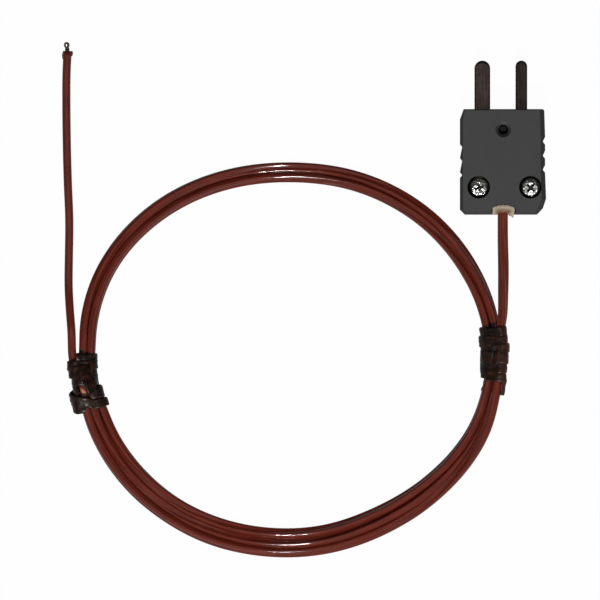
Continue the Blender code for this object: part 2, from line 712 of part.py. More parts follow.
def cord_lead(material):
    """From the stripped end inside the plug, through the grommet, to the coil inside the right tie."""
    joint = sum(RIGHT_TIE) / 2 + CORD_GAP / COIL_RADIUS
    points = [MOUTH + Vector((0, CABLE_STRIP_FROM_BACK, 0)), MOUTH.copy()]
    points += [from_mouth(*place) for place in LEAD_ROUTE]
    points += [coil_point(RIGHT_TIE[1], LEAD_OFFSET, UPPER_Z), coil_point(joint, JOIN_OFFSET, UPPER_Z)]
    tube("cord_lead", smooth_route(points, CORD_DIAMETER * 2), CORD_DIAMETER, material)


def cord_tail(material):
    """From the coil inside the left tie, up along the bench, to the end of the jacket. Returns that end."""
    joint = sum(LEFT_TIE) / 2 - CORD_GAP / COIL_RADIUS
    points = [coil_point(joint, JOIN_OFFSET, UPPER_Z), coil_point(LEFT_TIE[0], TAIL_OFFSET, UPPER_Z)]
    points += [from_mouth(*place) for place in TAIL_ROUTE]
    tube("cord_tail", smooth_route(points, CORD_DIAMETER * 2), CORD_DIAMETER, material)
    return points[-1]


def hot_junction(jacket_end, material):
    """The two bare wires, which lean together and end in one welded bead."""
    centre = jacket_end + Vector((BEAD_SIDE, BEAD_FROM_JACKET, 0))
    bm = bmesh.new()
    bmesh.ops.create_icosphere(bm, subdivisions=3, radius=BEAD_DIAMETER / 2)
    bmesh.ops.translate(bm, verts=bm.verts, vec=centre)
    bead = smooth(link("hot_junction", bm, material))
    wires = []
    for name, side in (("left", -1), ("right", 1)):
        start = jacket_end + Vector((side * TIP_WIRE_SPREAD / 2, CORD_GAP, 0))
        end = centre + Vector((side * TIP_WIRE_DIAMETER / 4, 0, 0))
        bm = bmesh.new()
        radius = TIP_WIRE_DIAMETER / 2
        length = (end - start).length
        sizes = {"radius1": radius, "radius2": radius, "depth": length}
        bmesh.ops.create_cone(bm, cap_ends=True, segments=WIRE_ROUND, **sizes)
        turn = (end - start).to_track_quat("Z", "Y").to_matrix()
        bmesh.ops.rotate(bm, verts=bm.verts, matrix=turn)
        bmesh.ops.translate(bm, verts=bm.verts, vec=(start + end) / 2)
        wires.append(link(f"tip_wire_{name}", bm))
    combine(bead, wires, "UNION")
    return bead


def build():
    clear_scene()
    moulding = finish("dark grey moulding", (0.055, 0.055, 0.055), 0.6)
    alloy = finish("oxidised alloy", (0.065, 0.045, 0.040), 0.45, 1.0)
    nickel = finish("nickel plate", (0.62, 0.62, 0.60), 0.25, 1.0)
    brass = finish("brass", (0.60, 0.45, 0.20), 0.35, 1.0)
    silicone = finish("cream silicone", (0.38, 0.31, 0.22), 0.6)
    jacket = finish("red brown jacket", (0.115, 0.022, 0.013), 0.3)
    tie_black = finish("black tie", (0.010, 0.009, 0.009), 0.4)

    plug_base(moulding)
    plug_cover(moulding)
    for name, blade_x, width, screw_x, turn in TERMINALS:
        blade(name, blade_x, width, screw_x, alloy)
        clamp_screw(name, screw_x, turn, nickel)
        drilled_plate(f"clamp_plate_{name}", screw_x, CLAMP_PLATE, CLAMP_LOW, CLAMP_HIGH, nickel)
        drilled_plate(f"terminal_nut_{name}", screw_x, NUT_SIDE, NUT_LOW, NUT_HIGH, brass)
        inner_wiring(name, -1 if name == "wide" else 1, screw_x, jacket, alloy)
    cover_screw(nickel)
    grommet(silicone)
    cord_lead(jacket)
    cord_coil(jacket)
    hot_junction(cord_tail(jacket), alloy)
    tie("tie_right", RIGHT_TIE, RIGHT_TIE_ROOM, tie_black)
    tie("tie_left", LEFT_TIE, LEFT_TIE_ROOM, tie_black)


build()
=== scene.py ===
import json
import logging
import math
from dataclasses import dataclass, field
from enum import Enum
from typing import NamedTuple, Sequence

import bmesh
import bpy
import numpy as np
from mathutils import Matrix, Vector


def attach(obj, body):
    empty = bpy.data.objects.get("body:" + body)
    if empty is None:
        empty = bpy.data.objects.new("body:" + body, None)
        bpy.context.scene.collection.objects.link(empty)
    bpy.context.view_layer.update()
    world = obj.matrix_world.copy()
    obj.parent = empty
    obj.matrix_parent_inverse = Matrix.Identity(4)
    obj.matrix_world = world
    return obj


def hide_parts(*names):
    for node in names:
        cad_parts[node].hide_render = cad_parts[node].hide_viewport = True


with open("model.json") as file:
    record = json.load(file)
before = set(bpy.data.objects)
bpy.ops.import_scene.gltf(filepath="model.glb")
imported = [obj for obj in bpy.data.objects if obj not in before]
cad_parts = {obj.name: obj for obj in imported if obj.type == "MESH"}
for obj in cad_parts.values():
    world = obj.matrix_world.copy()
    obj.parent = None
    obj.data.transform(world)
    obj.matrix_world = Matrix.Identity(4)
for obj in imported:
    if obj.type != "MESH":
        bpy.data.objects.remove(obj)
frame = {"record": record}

LOG = logging.getLogger("thermocouple_probe")
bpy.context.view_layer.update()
BODY = "root"
MM = 0.001

NOISE_ROUGHNESS = 0.55
NOISE_MIDDLE = (0.3, 0.7)
FULL = (0.0, 1.0)
WHITE = (1.0, 1.0, 1.0, 1.0)

Colour = tuple[float, float, float]
Socket = bpy.types.NodeSocket


class Slot(Enum):
    """Material slots of the record."""

    MOULDING = "moulding"
    ALLOY = "oxidised_alloy"
    NICKEL = "nickel"
    BRASS = "brass"
    SILICONE = "silicone"
    JACKET = "jacket"
    TIE = "tie_plastic"


# Node trees


class Graph:
    """Places and joins the nodes of one tree."""

    def __init__(self, tree: bpy.types.NodeTree) -> None:
        """Keep the tree that the nodes go into."""
        self.tree = tree

    def feed(self, socket: Socket, value: object) -> None:
        """Link a socket to another one, or set its own value.

        Args:
            socket: Input that is fed.
            value: Output socket, number or tuple.
        """
        if isinstance(value, bpy.types.NodeSocket):
            self.tree.links.new(value, socket)
        else:
            socket.default_value = value

    def add(self, kind: str, inputs: dict | None = None, **settings: object) -> bpy.types.Node:
        """Place one node.

        Args:
            kind: Node type.
            inputs: Values or sockets by input name or number.
            settings: Properties of the node.

        Returns:
            The new node.
        """
        node = self.tree.nodes.new(kind)
        for name, value in settings.items():
            setattr(node, name, value)
        for key, value in (inputs or {}).items():
            self.feed(node.inputs[key], value)
        return node

    def out(self, kind: str, inputs: dict | None = None, **settings: object) -> Socket:
        """Place one node and take its first output."""
        return self.add(kind, inputs, **settings).outputs[0]

    def math(self, operation: str, *values: object, clamp: bool = False) -> Socket:
        """Place a Math node.

        Args:
            operation: Its operation.
            values: Numbers or sockets.
            clamp: Whether the result is held between 0 and 1.

        Returns:
            The result.
        """
        node = self.add("ShaderNodeMath", operation=operation, use_clamp=clamp)
        for socket, value in zip(node.inputs, values):
            self.feed(socket, value)
        return node.outputs[0]

    def mix(self, factor: object, first: object, second: object) -> Socket:
        """Mix two colours.

        Args:
            factor: Share of the second colour.
            first: Colour or socket.
            second: Colour or socket.

        Returns:
            The mixed colour.
        """
        node = self.add("ShaderNodeMix", data_type="RGBA")
        for number, value in ((0, factor), (6, first), (7, second)):
            if isinstance(value, tuple) and len(value) == 3:
                value = (*value, 1.0)
            self.feed(node.inputs[number], value)
        return node.outputs[2]

    def remap(self, value: object, source: tuple[float, float], target: tuple[float, float]) -> Socket:
        """Map a value from one range to another, clamped.

        Args:
            value: Number or socket.
            source: Range that it has.
            target: Range that it gets.

        Returns:
            The mapped value.
        """
        return self.out("ShaderNodeMapRange", dict(enumerate((value, *source, *target))))

    def noise(self, vector: object, scale: float, detail: float) -> Socket:
        """Place a Noise Texture.

        Args:
            vector: Texture coordinates.
            scale: Its scale.
            detail: Its octaves.

        Returns:
            Its factor.
        """
        inputs = {"Vector": vector, "Scale": scale, "Detail": detail, "Roughness": NOISE_ROUGHNESS}
        return self.out("ShaderNodeTexNoise", inputs)

    def stretched(self, vector: object, scale: tuple[float, float, float]) -> Socket:
        """Scale a texture vector along each axis with a Mapping node."""
        return self.out("ShaderNodeMapping", {"Vector": vector, "Scale": scale})


GroupParts = tuple[bpy.types.NodeTree, Graph, bpy.types.Node, bpy.types.Node]


class ShaderGroups:
    """Shader effects that more than one material uses, each built once."""

    FINE_SHARE = 0.6

    @staticmethod
    def _begin(name: str, inputs: Sequence[tuple[str, str, float]], outputs: Sequence[str]) -> GroupParts:
        """Make an empty group with its sockets.

        Args:
            name: Name of the group.
            inputs: Name, socket type and default of each input.
            outputs: Names of the float outputs.

        Returns:
            The tree, its graph, its input node and its output node.
        """
        tree = bpy.data.node_groups.new(name, "ShaderNodeTree")
        for label, kind, default in inputs:
            socket = tree.interface.new_socket(label, in_out="INPUT", socket_type=kind)
            if kind == "NodeSocketFloat":
                socket.default_value = default
        for label in outputs:
            tree.interface.new_socket(label, in_out="OUTPUT", socket_type="NodeSocketFloat")
        graph = Graph(tree)
        return tree, graph, graph.add("NodeGroupInput"), graph.add("NodeGroupOutput")

    @classmethod
    def grain(cls) -> bpy.types.NodeTree:
        """Fine grain of a moulded surface over slow unevenness.

        Returns:
            Group with Vector, Grain Scale and Patch Scale in, Height and Patches out.
        """
        known = bpy.data.node_groups.get("surface_grain")
        if known:
            return known
        tree, graph, source, result = cls._begin(
            "surface_grain",
            (("Vector", "NodeSocketVector", 0.0), ("Grain Scale", "NodeSocketFloat", 6000.0),
             ("Patch Scale", "NodeSocketFloat", 300.0)),
            ("Height", "Patches"))
        fine = graph.add("ShaderNodeTexNoise", {"Vector": source.outputs["Vector"], "Detail": 2.0,
                                                "Scale": source.outputs["Grain Scale"]})
        pits = graph.add("ShaderNodeTexVoronoi", {"Vector": source.outputs["Vector"],
                                                  "Scale": source.outputs["Grain Scale"]})
        slow = graph.add("ShaderNodeTexNoise", {"Vector": source.outputs["Vector"], "Detail": 4.0,
                                                "Scale": source.outputs["Patch Scale"]})
        height = graph.math("ADD", graph.math("MULTIPLY", fine.outputs[0], cls.FINE_SHARE),
                            graph.math("MULTIPLY", pits.outputs["Distance"], 1.0 - cls.FINE_SHARE))
        graph.feed(result.inputs["Height"], height)
        graph.feed(result.inputs["Patches"], graph.remap(slow.outputs[0], NOISE_MIDDLE, FULL))
        return tree

    @classmethod
    def streaks(cls) -> bpy.types.NodeTree:
        """Long fine lines along one axis, as drawing or extrusion leaves.

        Returns:
            Group with Vector and Line Scale in, Lines out.
        """
        known = bpy.data.node_groups.get("drawn_streaks")
        if known:
            return known
        tree, graph, source, result = cls._begin(
            "drawn_streaks",
            (("Vector", "NodeSocketVector", 0.0), ("Line Scale", "NodeSocketFloat", 1.0)),
            ("Lines",))
        fine = graph.add("ShaderNodeTexNoise", {"Vector": source.outputs["Vector"], "Detail": 3.0,
                                                "Scale": source.outputs["Line Scale"]})
        graph.feed(result.inputs["Lines"], graph.remap(fine.outputs[0], NOISE_MIDDLE, FULL))
        return tree


# Finishes


@dataclass(frozen=True)
class Finish:
    """What every finish shares: its slot, colour, gloss and grain.

    The gloss spread is how much less and how much more rough than its own value a finish gets.
    """

    slot: Slot
    colour: Colour
    roughness: float
    metallic: float = 0.0
    refraction: float = 1.5
    grain_scale: float = 6000.0
    patch_scale: float = 300.0
    gloss_spread: tuple[float, float] = (0.06, 0.06)

    def begin(self) -> tuple[bpy.types.Material, Graph, bpy.types.Node, Socket]:
        """Make a material with one Principled BSDF.

        Returns:
            The material, its graph, its shader and the Object coordinates.
        """
        material = bpy.data.materials.new(self.slot.value)
        material.use_nodes = True
        material.node_tree.nodes.clear()
        graph = Graph(material.node_tree)
        shader = graph.add("ShaderNodeBsdfPrincipled", {
            "Base Color": (*self.colour, 1.0), "Roughness": self.roughness,
            "Metallic": self.metallic, "IOR": self.refraction})
        output = graph.add("ShaderNodeOutputMaterial")
        graph.feed(output.inputs["Surface"], shader.outputs[0])
        place = graph.add("ShaderNodeTexCoord").outputs["Object"]
        return material, graph, shader, place

    def grain(self, graph: Graph, place: Socket) -> bpy.types.Node:
        """Place the grain group at the finish's own scales.

        Args:
            graph: Graph of the material.
            place: Object coordinates.

        Returns:
            The group node.
        """
        inputs = {"Vector": place, "Grain Scale": self.grain_scale, "Patch Scale": self.patch_scale}
        return graph.add("ShaderNodeGroup", inputs, node_tree=ShaderGroups.grain())

    @staticmethod
    def lines(graph: Graph, vector: Socket) -> Socket:
        """Place the group of drawn lines.

        Args:
            graph: Graph of the material.
            vector: Texture coordinates, scaled so that the lines are long.

        Returns:
            The lines, from 0 to 1.
        """
        inputs = {"Vector": vector, "Line Scale": 1.0}
        return graph.add("ShaderNodeGroup", inputs, node_tree=ShaderGroups.streaks()).outputs["Lines"]

    def soften_gloss(self, graph: Graph, shader: bpy.types.Node, value: Socket) -> None:
        """Let the roughness follow a value around the finish's own, smoothest at 0.

        Args:
            graph: Graph of the material.
            shader: The Principled BSDF.
            value: Value from 0 to 1.
        """
        smoother, rougher = self.gloss_spread
        span = (self.roughness - smoother, self.roughness + rougher)
        graph.feed(shader.inputs["Roughness"], graph.remap(value, FULL, span))

    @staticmethod
    def bump(graph: Graph, shader: bpy.types.Node, height: Socket, depth: float) -> None:
        """Feed a height to the shader's normal.

        Args:
            graph: Graph of the material.
            shader: The Principled BSDF.
            height: Height from 0 to 1.
            depth: Depth of a height of 1, in metres.
        """
        node = graph.add("ShaderNodeBump", {"Height": height, "Distance": depth})
        graph.feed(shader.inputs["Normal"], node.outputs[0])

    def material(self) -> bpy.types.Material:
        """Build the material; each finish has its own."""
        raise NotImplementedError


@dataclass(frozen=True)
class Moulding(Finish):
    """Dark grey moulded plastic with a spark-eroded grain."""

    slot: Slot = Slot.MOULDING
    colour: Colour = (0.0170, 0.0170, 0.0170)
    roughness: float = 0.60
    worn: Colour = (0.0250, 0.0250, 0.0250)
    # painted shade: colour of every face but the front one (sides, bevels, well and hole walls), as if those
    # faces lie in shade
    rim: Colour = (0.013, 0.013, 0.013)
    grain_scale: float = 5200.0
    patch_scale: float = 240.0
    grain_depth: float = 0.012 * MM
    patch_share: float = 0.45
    speck_share: float = 0.55
    speck_range: tuple[float, float] = (0.25, 0.75)
    gloss_spread: tuple[float, float] = (0.05, 0.06)

    def material(self) -> bpy.types.Material:
        """Build the grain, slow patches, painted shade on the faces turned away from the front, and bump.

        Returns:
            The material.
        """
        material, graph, shader, place = self.begin()
        grain = self.grain(graph, place)
        speck = graph.remap(grain.outputs["Height"], self.speck_range, (0.0, self.speck_share))
        patches = graph.math("MULTIPLY", grain.outputs["Patches"], self.patch_share)
        colour = graph.mix(patches, self.colour, self.worn)
        colour = graph.mix(speck, colour, self.worn)
        # painted shade: the rim attribute marks all but the front faces, which get the darker rim colour
        rim = graph.add("ShaderNodeAttribute", attribute_name="rim").outputs["Fac"]
        graph.feed(shader.inputs["Base Color"], graph.mix(rim, colour, self.rim))
        self.soften_gloss(graph, shader, grain.outputs["Patches"])
        self.bump(graph, shader, grain.outputs["Height"], self.grain_depth)
        return material


@dataclass(frozen=True)
class OxidisedAlloy(Finish):
    """Dull brown oxide on a drawn thermocouple alloy."""

    slot: Slot = Slot.ALLOY
    colour: Colour = (0.087, 0.065, 0.058)
    roughness: float = 0.24
    metallic: float = 0.95
    dark: Colour = (0.032, 0.021, 0.019)
    # painted shade along the blade's edge, widest round the tip
    rim: Colour = (0.006, 0.005, 0.005)
    smoothest: float = 0.20
    gloss_span: float = 0.08
    grain_scale: float = 9000.0
    patch_scale: float = 700.0
    line_scales: tuple[float, float, float] = (5200.0, 260.0, 2600.0)
    line_share: float = 0.6
    line_depth: float = 0.006 * MM
    middle: float = 0.0
    half_width: float = 1.0
    tip: float = 1.0
    edge_shade_width: float = 0.40 * MM
    edge_shade_core: float = 0.45
    edge_shade_share: float = 0.92
    tip_roll: float = 1.30

    def material(self) -> bpy.types.Material:
        """Build streaks along Y over patches of oxide, with painted shade along the blade's edge.

        Returns:
            The material.
        """
        material, graph, shader, place = self.begin()
        lines = self.lines(graph, graph.stretched(place, self.line_scales))
        grain = self.grain(graph, place)
        shade = graph.math("ADD", graph.math("MULTIPLY", lines, self.line_share),
                           graph.math("MULTIPLY", grain.outputs["Patches"], 1.0 - self.line_share))
        colour = graph.mix(shade, self.dark, self.colour)
        # painted shade along the edge of the blade
        graph.feed(shader.inputs["Base Color"], graph.mix(self.edge_shade_mask(graph, place), colour, self.rim))
        gloss = graph.remap(shade, FULL, (self.smoothest + self.gloss_span, self.smoothest))
        graph.feed(shader.inputs["Roughness"], gloss)
        self.bump(graph, shader, lines, self.line_depth)
        return material

    def edge_shade_mask(self, graph: Graph, place: Socket) -> Socket:
        """Mark the painted shade along the edge of a blade with a round tip.

        Args:
            graph: Graph of the material.
            place: Object coordinates.

        Returns:
            Value that is 1 at the edge and 0 further in than the rim's width.
        """
        axes = graph.add("ShaderNodeSeparateXYZ", {0: place})
        across = graph.math("SUBTRACT", axes.outputs["X"], self.middle)
        past = graph.math("SUBTRACT", axes.outputs["Y"], self.tip - self.half_width)
        past = graph.math("MULTIPLY", graph.math("MAXIMUM", past, 0.0), self.tip_roll)
        reach = graph.math("SQRT", graph.math("ADD", graph.math("MULTIPLY", across, across),
                                              graph.math("MULTIPLY", past, past)))
        span = (self.half_width - self.edge_shade_width, self.half_width - self.edge_shade_core * self.edge_shade_width)
        return graph.remap(reach, span, (0.0, self.edge_shade_share))


@dataclass(frozen=True)
class Nickel(Finish):
    """Bright nickel plate with small stains."""

    slot: Slot = Slot.NICKEL
    colour: Colour = (0.66, 0.65, 0.63)
    roughness: float = 0.20
    metallic: float = 1.0
    stain_shares: tuple[float, float, float] = (0.60, 0.56, 0.50)
    stain_range: tuple[float, float] = (0.35, 1.0)
    stain_strength: float = 0.5
    # painted shade for the cross recess of the screw heads
    recess_shade: Colour = (0.060, 0.058, 0.055)
    grain_scale: float = 12000.0
    patch_scale: float = 1500.0
    dent_scale: float = 1700.0
    dent_depth: float = 0.3 * MM

    def material(self) -> bpy.types.Material:
        """Build the plate with small stains and painted shade in the recess.

        Returns:
            The material.
        """
        material, graph, shader, place = self.begin()
        grain = self.grain(graph, place)
        stain = graph.remap(grain.outputs["Patches"], self.stain_range, (0.0, self.stain_strength))
        stained = tuple(part * share for part, share in zip(self.colour, self.stain_shares))
        colour = graph.mix(stain, self.colour, stained)
        # painted shade: points marked as recess get the dark colour
        recess = graph.add("ShaderNodeAttribute", attribute_name="recess").outputs["Fac"]
        graph.feed(shader.inputs["Base Color"], graph.mix(recess, colour, self.recess_shade))
        self.soften_gloss(graph, shader, grain.outputs["Patches"])
        self.bump(graph, shader, graph.noise(place, self.dent_scale, 2.0), self.dent_depth)
        return material


@dataclass(frozen=True)
class Brass(Finish):
    """Turned brass of the terminal nuts."""

    slot: Slot = Slot.BRASS
    colour: Colour = (0.60, 0.44, 0.19)
    roughness: float = 0.32
    metallic: float = 1.0
    dull: Colour = (0.42, 0.30, 0.13)
    grain_scale: float = 9000.0
    patch_scale: float = 900.0
    grain_depth: float = 0.003 * MM
    gloss_spread: tuple[float, float] = (0.06, 0.10)

    def material(self) -> bpy.types.Material:
        """Build brass with dull patches.

        Returns:
            The material.
        """
        material, graph, shader, place = self.begin()
        grain = self.grain(graph, place)
        graph.feed(shader.inputs["Base Color"], graph.mix(grain.outputs["Patches"], self.colour, self.dull))
        self.soften_gloss(graph, shader, grain.outputs["Patches"])
        self.bump(graph, shader, grain.outputs["Height"], self.grain_depth)
        return material


@dataclass(frozen=True)
class Silicone(Finish):
    """Matte cream silicone, stained where the lead leaves it."""

    slot: Slot = Slot.SILICONE
    colour: Colour = (0.40, 0.335, 0.25)
    roughness: float = 0.62
    stain: Colour = (0.15, 0.072, 0.036)
    lead_x: float = 0.06 * MM
    lead_half: float = 1.1 * MM
    stain_spread: float = 0.9 * MM
    stain_ends: tuple[float, float] = (-14.9 * MM, -14.1 * MM)
    stain_share: float = 0.75
    patch_share: float = 0.30
    grain_scale: float = 4200.0
    patch_scale: float = 900.0
    grain_depth: float = 0.02 * MM

    def material(self) -> bpy.types.Material:
        """Build cream patches with a brown stain around the lead.

        Returns:
            The material.
        """
        material, graph, shader, place = self.begin()
        grain = self.grain(graph, place)
        axes = graph.add("ShaderNodeSeparateXYZ", {0: place})
        beside = graph.math("ABSOLUTE", graph.math("SUBTRACT", axes.outputs["X"], self.lead_x))
        reach = (self.lead_half, self.lead_half + self.stain_spread)
        near = graph.remap(beside, reach, (self.stain_share, 0.0))
        low = graph.remap(axes.outputs["Y"], self.stain_ends, (1.0, 0.0))
        stained = graph.math("MULTIPLY", near, low)
        patches = graph.math("MULTIPLY", grain.outputs["Patches"], self.patch_share)
        patchy = graph.math("ADD", patches, stained, clamp=True)
        graph.feed(shader.inputs["Base Color"], graph.mix(patchy, self.colour, self.stain))
        self.bump(graph, shader, grain.outputs["Height"], self.grain_depth)
        return material


@dataclass(frozen=True)
class Jacket(Finish):
    """Glossy red-brown fluoropolymer, drawn along the lead."""

    slot: Slot = Slot.JACKET
    colour: Colour = (0.142, 0.021, 0.011)
    roughness: float = 0.07
    refraction: float = 1.36
    deep: Colour = (0.036, 0.0045, 0.0025)
    # painted highlight: a tan glint on the strand where it shows in the gap of the left tie, stretched along
    # the strand
    painted_highlight: Colour = (0.50, 0.23, 0.12)
    highlight_place: tuple[float, float] = (-84.9 * MM, -51.9 * MM)
    highlight_way: tuple[float, float] = (0.62, -0.78)
    highlight_reach: tuple[float, float] = (1.5 * MM, 0.50 * MM)
    highlight_core: float = 0.35
    gloss_spread: tuple[float, float] = (0.02, 0.04)
    # scales of the drawn lines and of the slow patches: on the strand's own map, and in plain places
    strand_scales: tuple = ((34.0, 260.0, 1.0), (3.0, 90.0, 1.0))
    plain_scales: tuple = ((3000.0, 300.0, 3000.0), (300.0, 300.0, 300.0))
    patch_range: tuple[float, float] = (0.35, 0.65)
    patch_share: float = 0.3
    line_share: float = 0.5
    line_depth: float = 0.003 * MM
    along_strand: bool = True

    def material(self) -> bpy.types.Material:
        """Build fine lines along the strand over slow colour changes, with one painted highlight.

        Returns:
            The material.
        """
        material, graph, shader, place = self.begin()
        where, scales = place, self.plain_scales
        if self.along_strand:
            where, scales = graph.out("ShaderNodeUVMap", uv_map="strand"), self.strand_scales
        drawn, slow = (graph.stretched(where, scale) for scale in scales)
        lines = self.lines(graph, drawn)
        patches = graph.remap(graph.noise(slow, 1.0, 4.0), self.patch_range, FULL)
        shade = graph.math("ADD", graph.math("MULTIPLY", lines, self.line_share),
                           graph.math("MULTIPLY", patches, self.patch_share), clamp=True)
        colour = graph.mix(shade, self.colour, self.deep)
        # painted highlight on the strand in the gap of the left tie
        colour = graph.mix(self.painted_highlight_mask(graph, place), colour, self.painted_highlight)
        graph.feed(shader.inputs["Base Color"], colour)
        self.soften_gloss(graph, shader, patches)
        self.bump(graph, shader, lines, self.line_depth)
        return material

    def painted_highlight_mask(self, graph: Graph, place: Socket) -> Socket:
        """Mark the painted highlight on the strand that shows in the gap of the left tie.

        Args:
            graph: Graph of the material.
            place: Object coordinates.

        Returns:
            Value that is 1 in the middle of the spot and 0 outside it.
        """
        axes = graph.add("ShaderNodeSeparateXYZ", {0: place})
        right = graph.math("SUBTRACT", axes.outputs["X"], self.highlight_place[0])
        back = graph.math("SUBTRACT", axes.outputs["Y"], self.highlight_place[1])
        way_x, way_y = self.highlight_way
        along = graph.math("ADD", graph.math("MULTIPLY", right, way_x / self.highlight_reach[0]),
                           graph.math("MULTIPLY", back, way_y / self.highlight_reach[0]))
        across = graph.math("SUBTRACT", graph.math("MULTIPLY", back, way_x / self.highlight_reach[1]),
                            graph.math("MULTIPLY", right, way_y / self.highlight_reach[1]))
        reach = graph.math("SQRT", graph.math("ADD", graph.math("MULTIPLY", along, along),
                                              graph.math("MULTIPLY", across, across)))
        return graph.remap(reach, (self.highlight_core, 1.0), (1.0, 0.0))


@dataclass(frozen=True)
class TiePlastic(Finish):
    """Soft black plastic on the wire ties."""

    slot: Slot = Slot.TIE
    colour: Colour = (0.0040, 0.0016, 0.0008)
    roughness: float = 0.33
    refraction: float = 1.30
    dusty: Colour = (0.050, 0.014, 0.005)
    lead_side: tuple[float, float] = (-1.2 * MM, 0.5 * MM)
    lead_dust: float = 0.40
    patch_dust: float = 0.55
    patch_range: tuple[float, float] = (0.35, 1.0)
    gloss_spread: tuple[float, float] = (0.0, 0.09)
    grain_scale: float = 3600.0
    patch_scale: float = 650.0
    grain_depth: float = 0.02 * MM

    def material(self) -> bpy.types.Material:
        """Build black with dusty, scuffed places, more of them over the lead out of the plug.

        Returns:
            The material.
        """
        material, graph, shader, place = self.begin()
        grain = self.grain(graph, place)
        across = graph.add("ShaderNodeSeparateXYZ", {0: place}).outputs["X"]
        beside = graph.remap(across, self.lead_side, (0.0, self.lead_dust))
        patches = graph.remap(grain.outputs["Patches"], self.patch_range, (0.0, self.patch_dust))
        dust = graph.math("ADD", patches, beside, clamp=True)
        graph.feed(shader.inputs["Base Color"], graph.mix(dust, self.colour, self.dusty))
        self.soften_gloss(graph, shader, dust)
        self.bump(graph, shader, grain.outputs["Height"], self.grain_depth)
        return material


class Finishes:
    """Materials of the object, each built when it is first asked for."""

    KINDS: dict[Slot, type[Finish]] = {
        Slot.MOULDING: Moulding, Slot.ALLOY: OxidisedAlloy, Slot.NICKEL: Nickel, Slot.BRASS: Brass,
        Slot.SILICONE: Silicone, Slot.JACKET: Jacket, Slot.TIE: TiePlastic}

    def __init__(self) -> None:
        """Start with no material."""
        self._made: dict[str, bpy.types.Material] = {}

    def of(self, slot: Slot, **changes: object) -> bpy.types.Material:
        """Give the material of a slot.

        Args:
            slot: Slot of the record.
            changes: Fields of the finish that differ from its defaults.

        Returns:
            The material.
        """
        key = f"{slot.value} {sorted(changes.items())}"
        if key not in self._made:
            self._made[key] = self.KINDS[slot](**changes).material()
        return self._made[key]

    def dress_node(self, node: str, slot: Slot, **changes: object) -> None:
        """Assign a finish to a carried-over CAD node.

        Args:
            node: Name of the node.
            slot: Its material slot.
            changes: Fields of the finish that differ from its defaults.
        """
        mesh = bpy.data.objects[node].data
        mesh.materials.clear()
        mesh.materials.append(self.of(slot, **changes))


# Mesh help

WELD_REACH = 0.0001 * MM


def put(name: str, data: bpy.types.ID) -> bpy.types.Object:
    """Put a new object into the scene.

    Args:
        name: Name of the object.
        data: Its mesh, lamp or camera.

    Returns:
        The object.
    """
    made = bpy.data.objects.new(name, data)
    bpy.context.scene.collection.objects.link(made)
    return made


def band(low: int, high: int, count: int) -> list[tuple[int, ...]]:
    """List the faces between two closed rings of points.

    Args:
        low: Number of the first ring's first point.
        high: Number of the second ring's first point.
        count: Points of a ring.

    Returns:
        One four-cornered face a point.
    """
    return [(low + k, low + (k + 1) % count, high + (k + 1) % count, high + k) for k in range(count)]


def wall(low: int, high: int, count: int) -> list[tuple[int, ...]]:
    """List the faces between two closed rings, wound the other way round.

    Args:
        low: Number of the first ring's first point.
        high: Number of the second ring's first point.
        count: Points of a ring.

    Returns:
        One four-cornered face a point.
    """
    return [(low + k, high + k, high + (k + 1) % count, low + (k + 1) % count) for k in range(count)]


def close_up(mesh: bpy.types.Mesh) -> None:
    """Weld points that share a place and turn the normals outwards.

    Args:
        mesh: Mesh that is changed.
    """
    work = bmesh.new()
    work.from_mesh(mesh)
    bmesh.ops.remove_doubles(work, verts=work.verts, dist=WELD_REACH)
    bmesh.ops.recalc_face_normals(work, faces=work.faces)
    work.to_mesh(mesh)
    work.free()


def add_mesh(name: str, verts: Sequence, faces: Sequence, material: bpy.types.Material,
             rounded: bool = True) -> bpy.types.Object:
    """Make an object at the origin from points and faces.

    Args:
        name: Name of the piece.
        verts: Points in metres.
        faces: Corner numbers of each face.
        material: Its material.
        rounded: Whether its faces are shaded smooth.

    Returns:
        The new object, with its normals turned outwards.
    """
    mesh = bpy.data.meshes.new(name)
    mesh.from_pydata([tuple(v) for v in verts], [], [tuple(f) for f in faces])
    mesh.materials.append(material)
    close_up(mesh)
    mesh.polygons.foreach_set("use_smooth", [rounded] * len(mesh.polygons))
    return put(name, mesh)


def settle(piece: bpy.types.Object, slot: Slot, *nodes: str) -> bpy.types.Object:
    """Let a finished piece ride on the body and replace CAD nodes.

    Args:
        piece: The finished piece.
        slot: Slot of its finish; not used.
        nodes: CAD nodes that it stands for.

    Returns:
        The same piece.
    """
    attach(piece, BODY)
    if nodes:
        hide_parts(*nodes)
    return piece


def catmull(points: np.ndarray, per_span: int) -> np.ndarray:
    """Run a smooth curve through points of any number of values.

    Args:
        points: One row a point.
        per_span: Samples between two points.

    Returns:
        The sampled rows.
    """
    padded = np.vstack([2 * points[0] - points[1], points, 2 * points[-1] - points[-2]])
    rows = []
    for start in range(len(points) - 1):
        p0, p1, p2, p3 = padded[start:start + 4]
        for t in np.arange(per_span) / per_span:
            rows.append(0.5 * (2 * p1 + (p2 - p0) * t + (2 * p0 - 5 * p1 + 4 * p2 - p3) * t * t
                               + (3 * p1 - p0 - 3 * p2 + p3) * t ** 3))
    rows.append(points[-1])
    return np.array(rows)


def evenly(rows: np.ndarray, spacing: float) -> np.ndarray:
    """Sample rows again at an even distance along their first three values.

    Args:
        rows: Points, with any further values beside them.
        spacing: Wanted distance in metres.

    Returns:
        The new rows.
    """
    steps = np.linalg.norm(np.diff(rows[:, :3], axis=0), axis=1)
    along = np.concatenate([[0.0], np.cumsum(steps)])
    wanted = np.linspace(0.0, along[-1], int(round(along[-1] / spacing)) + 1)
    return np.column_stack([np.interp(wanted, along, rows[:, k]) for k in range(rows.shape[1])])


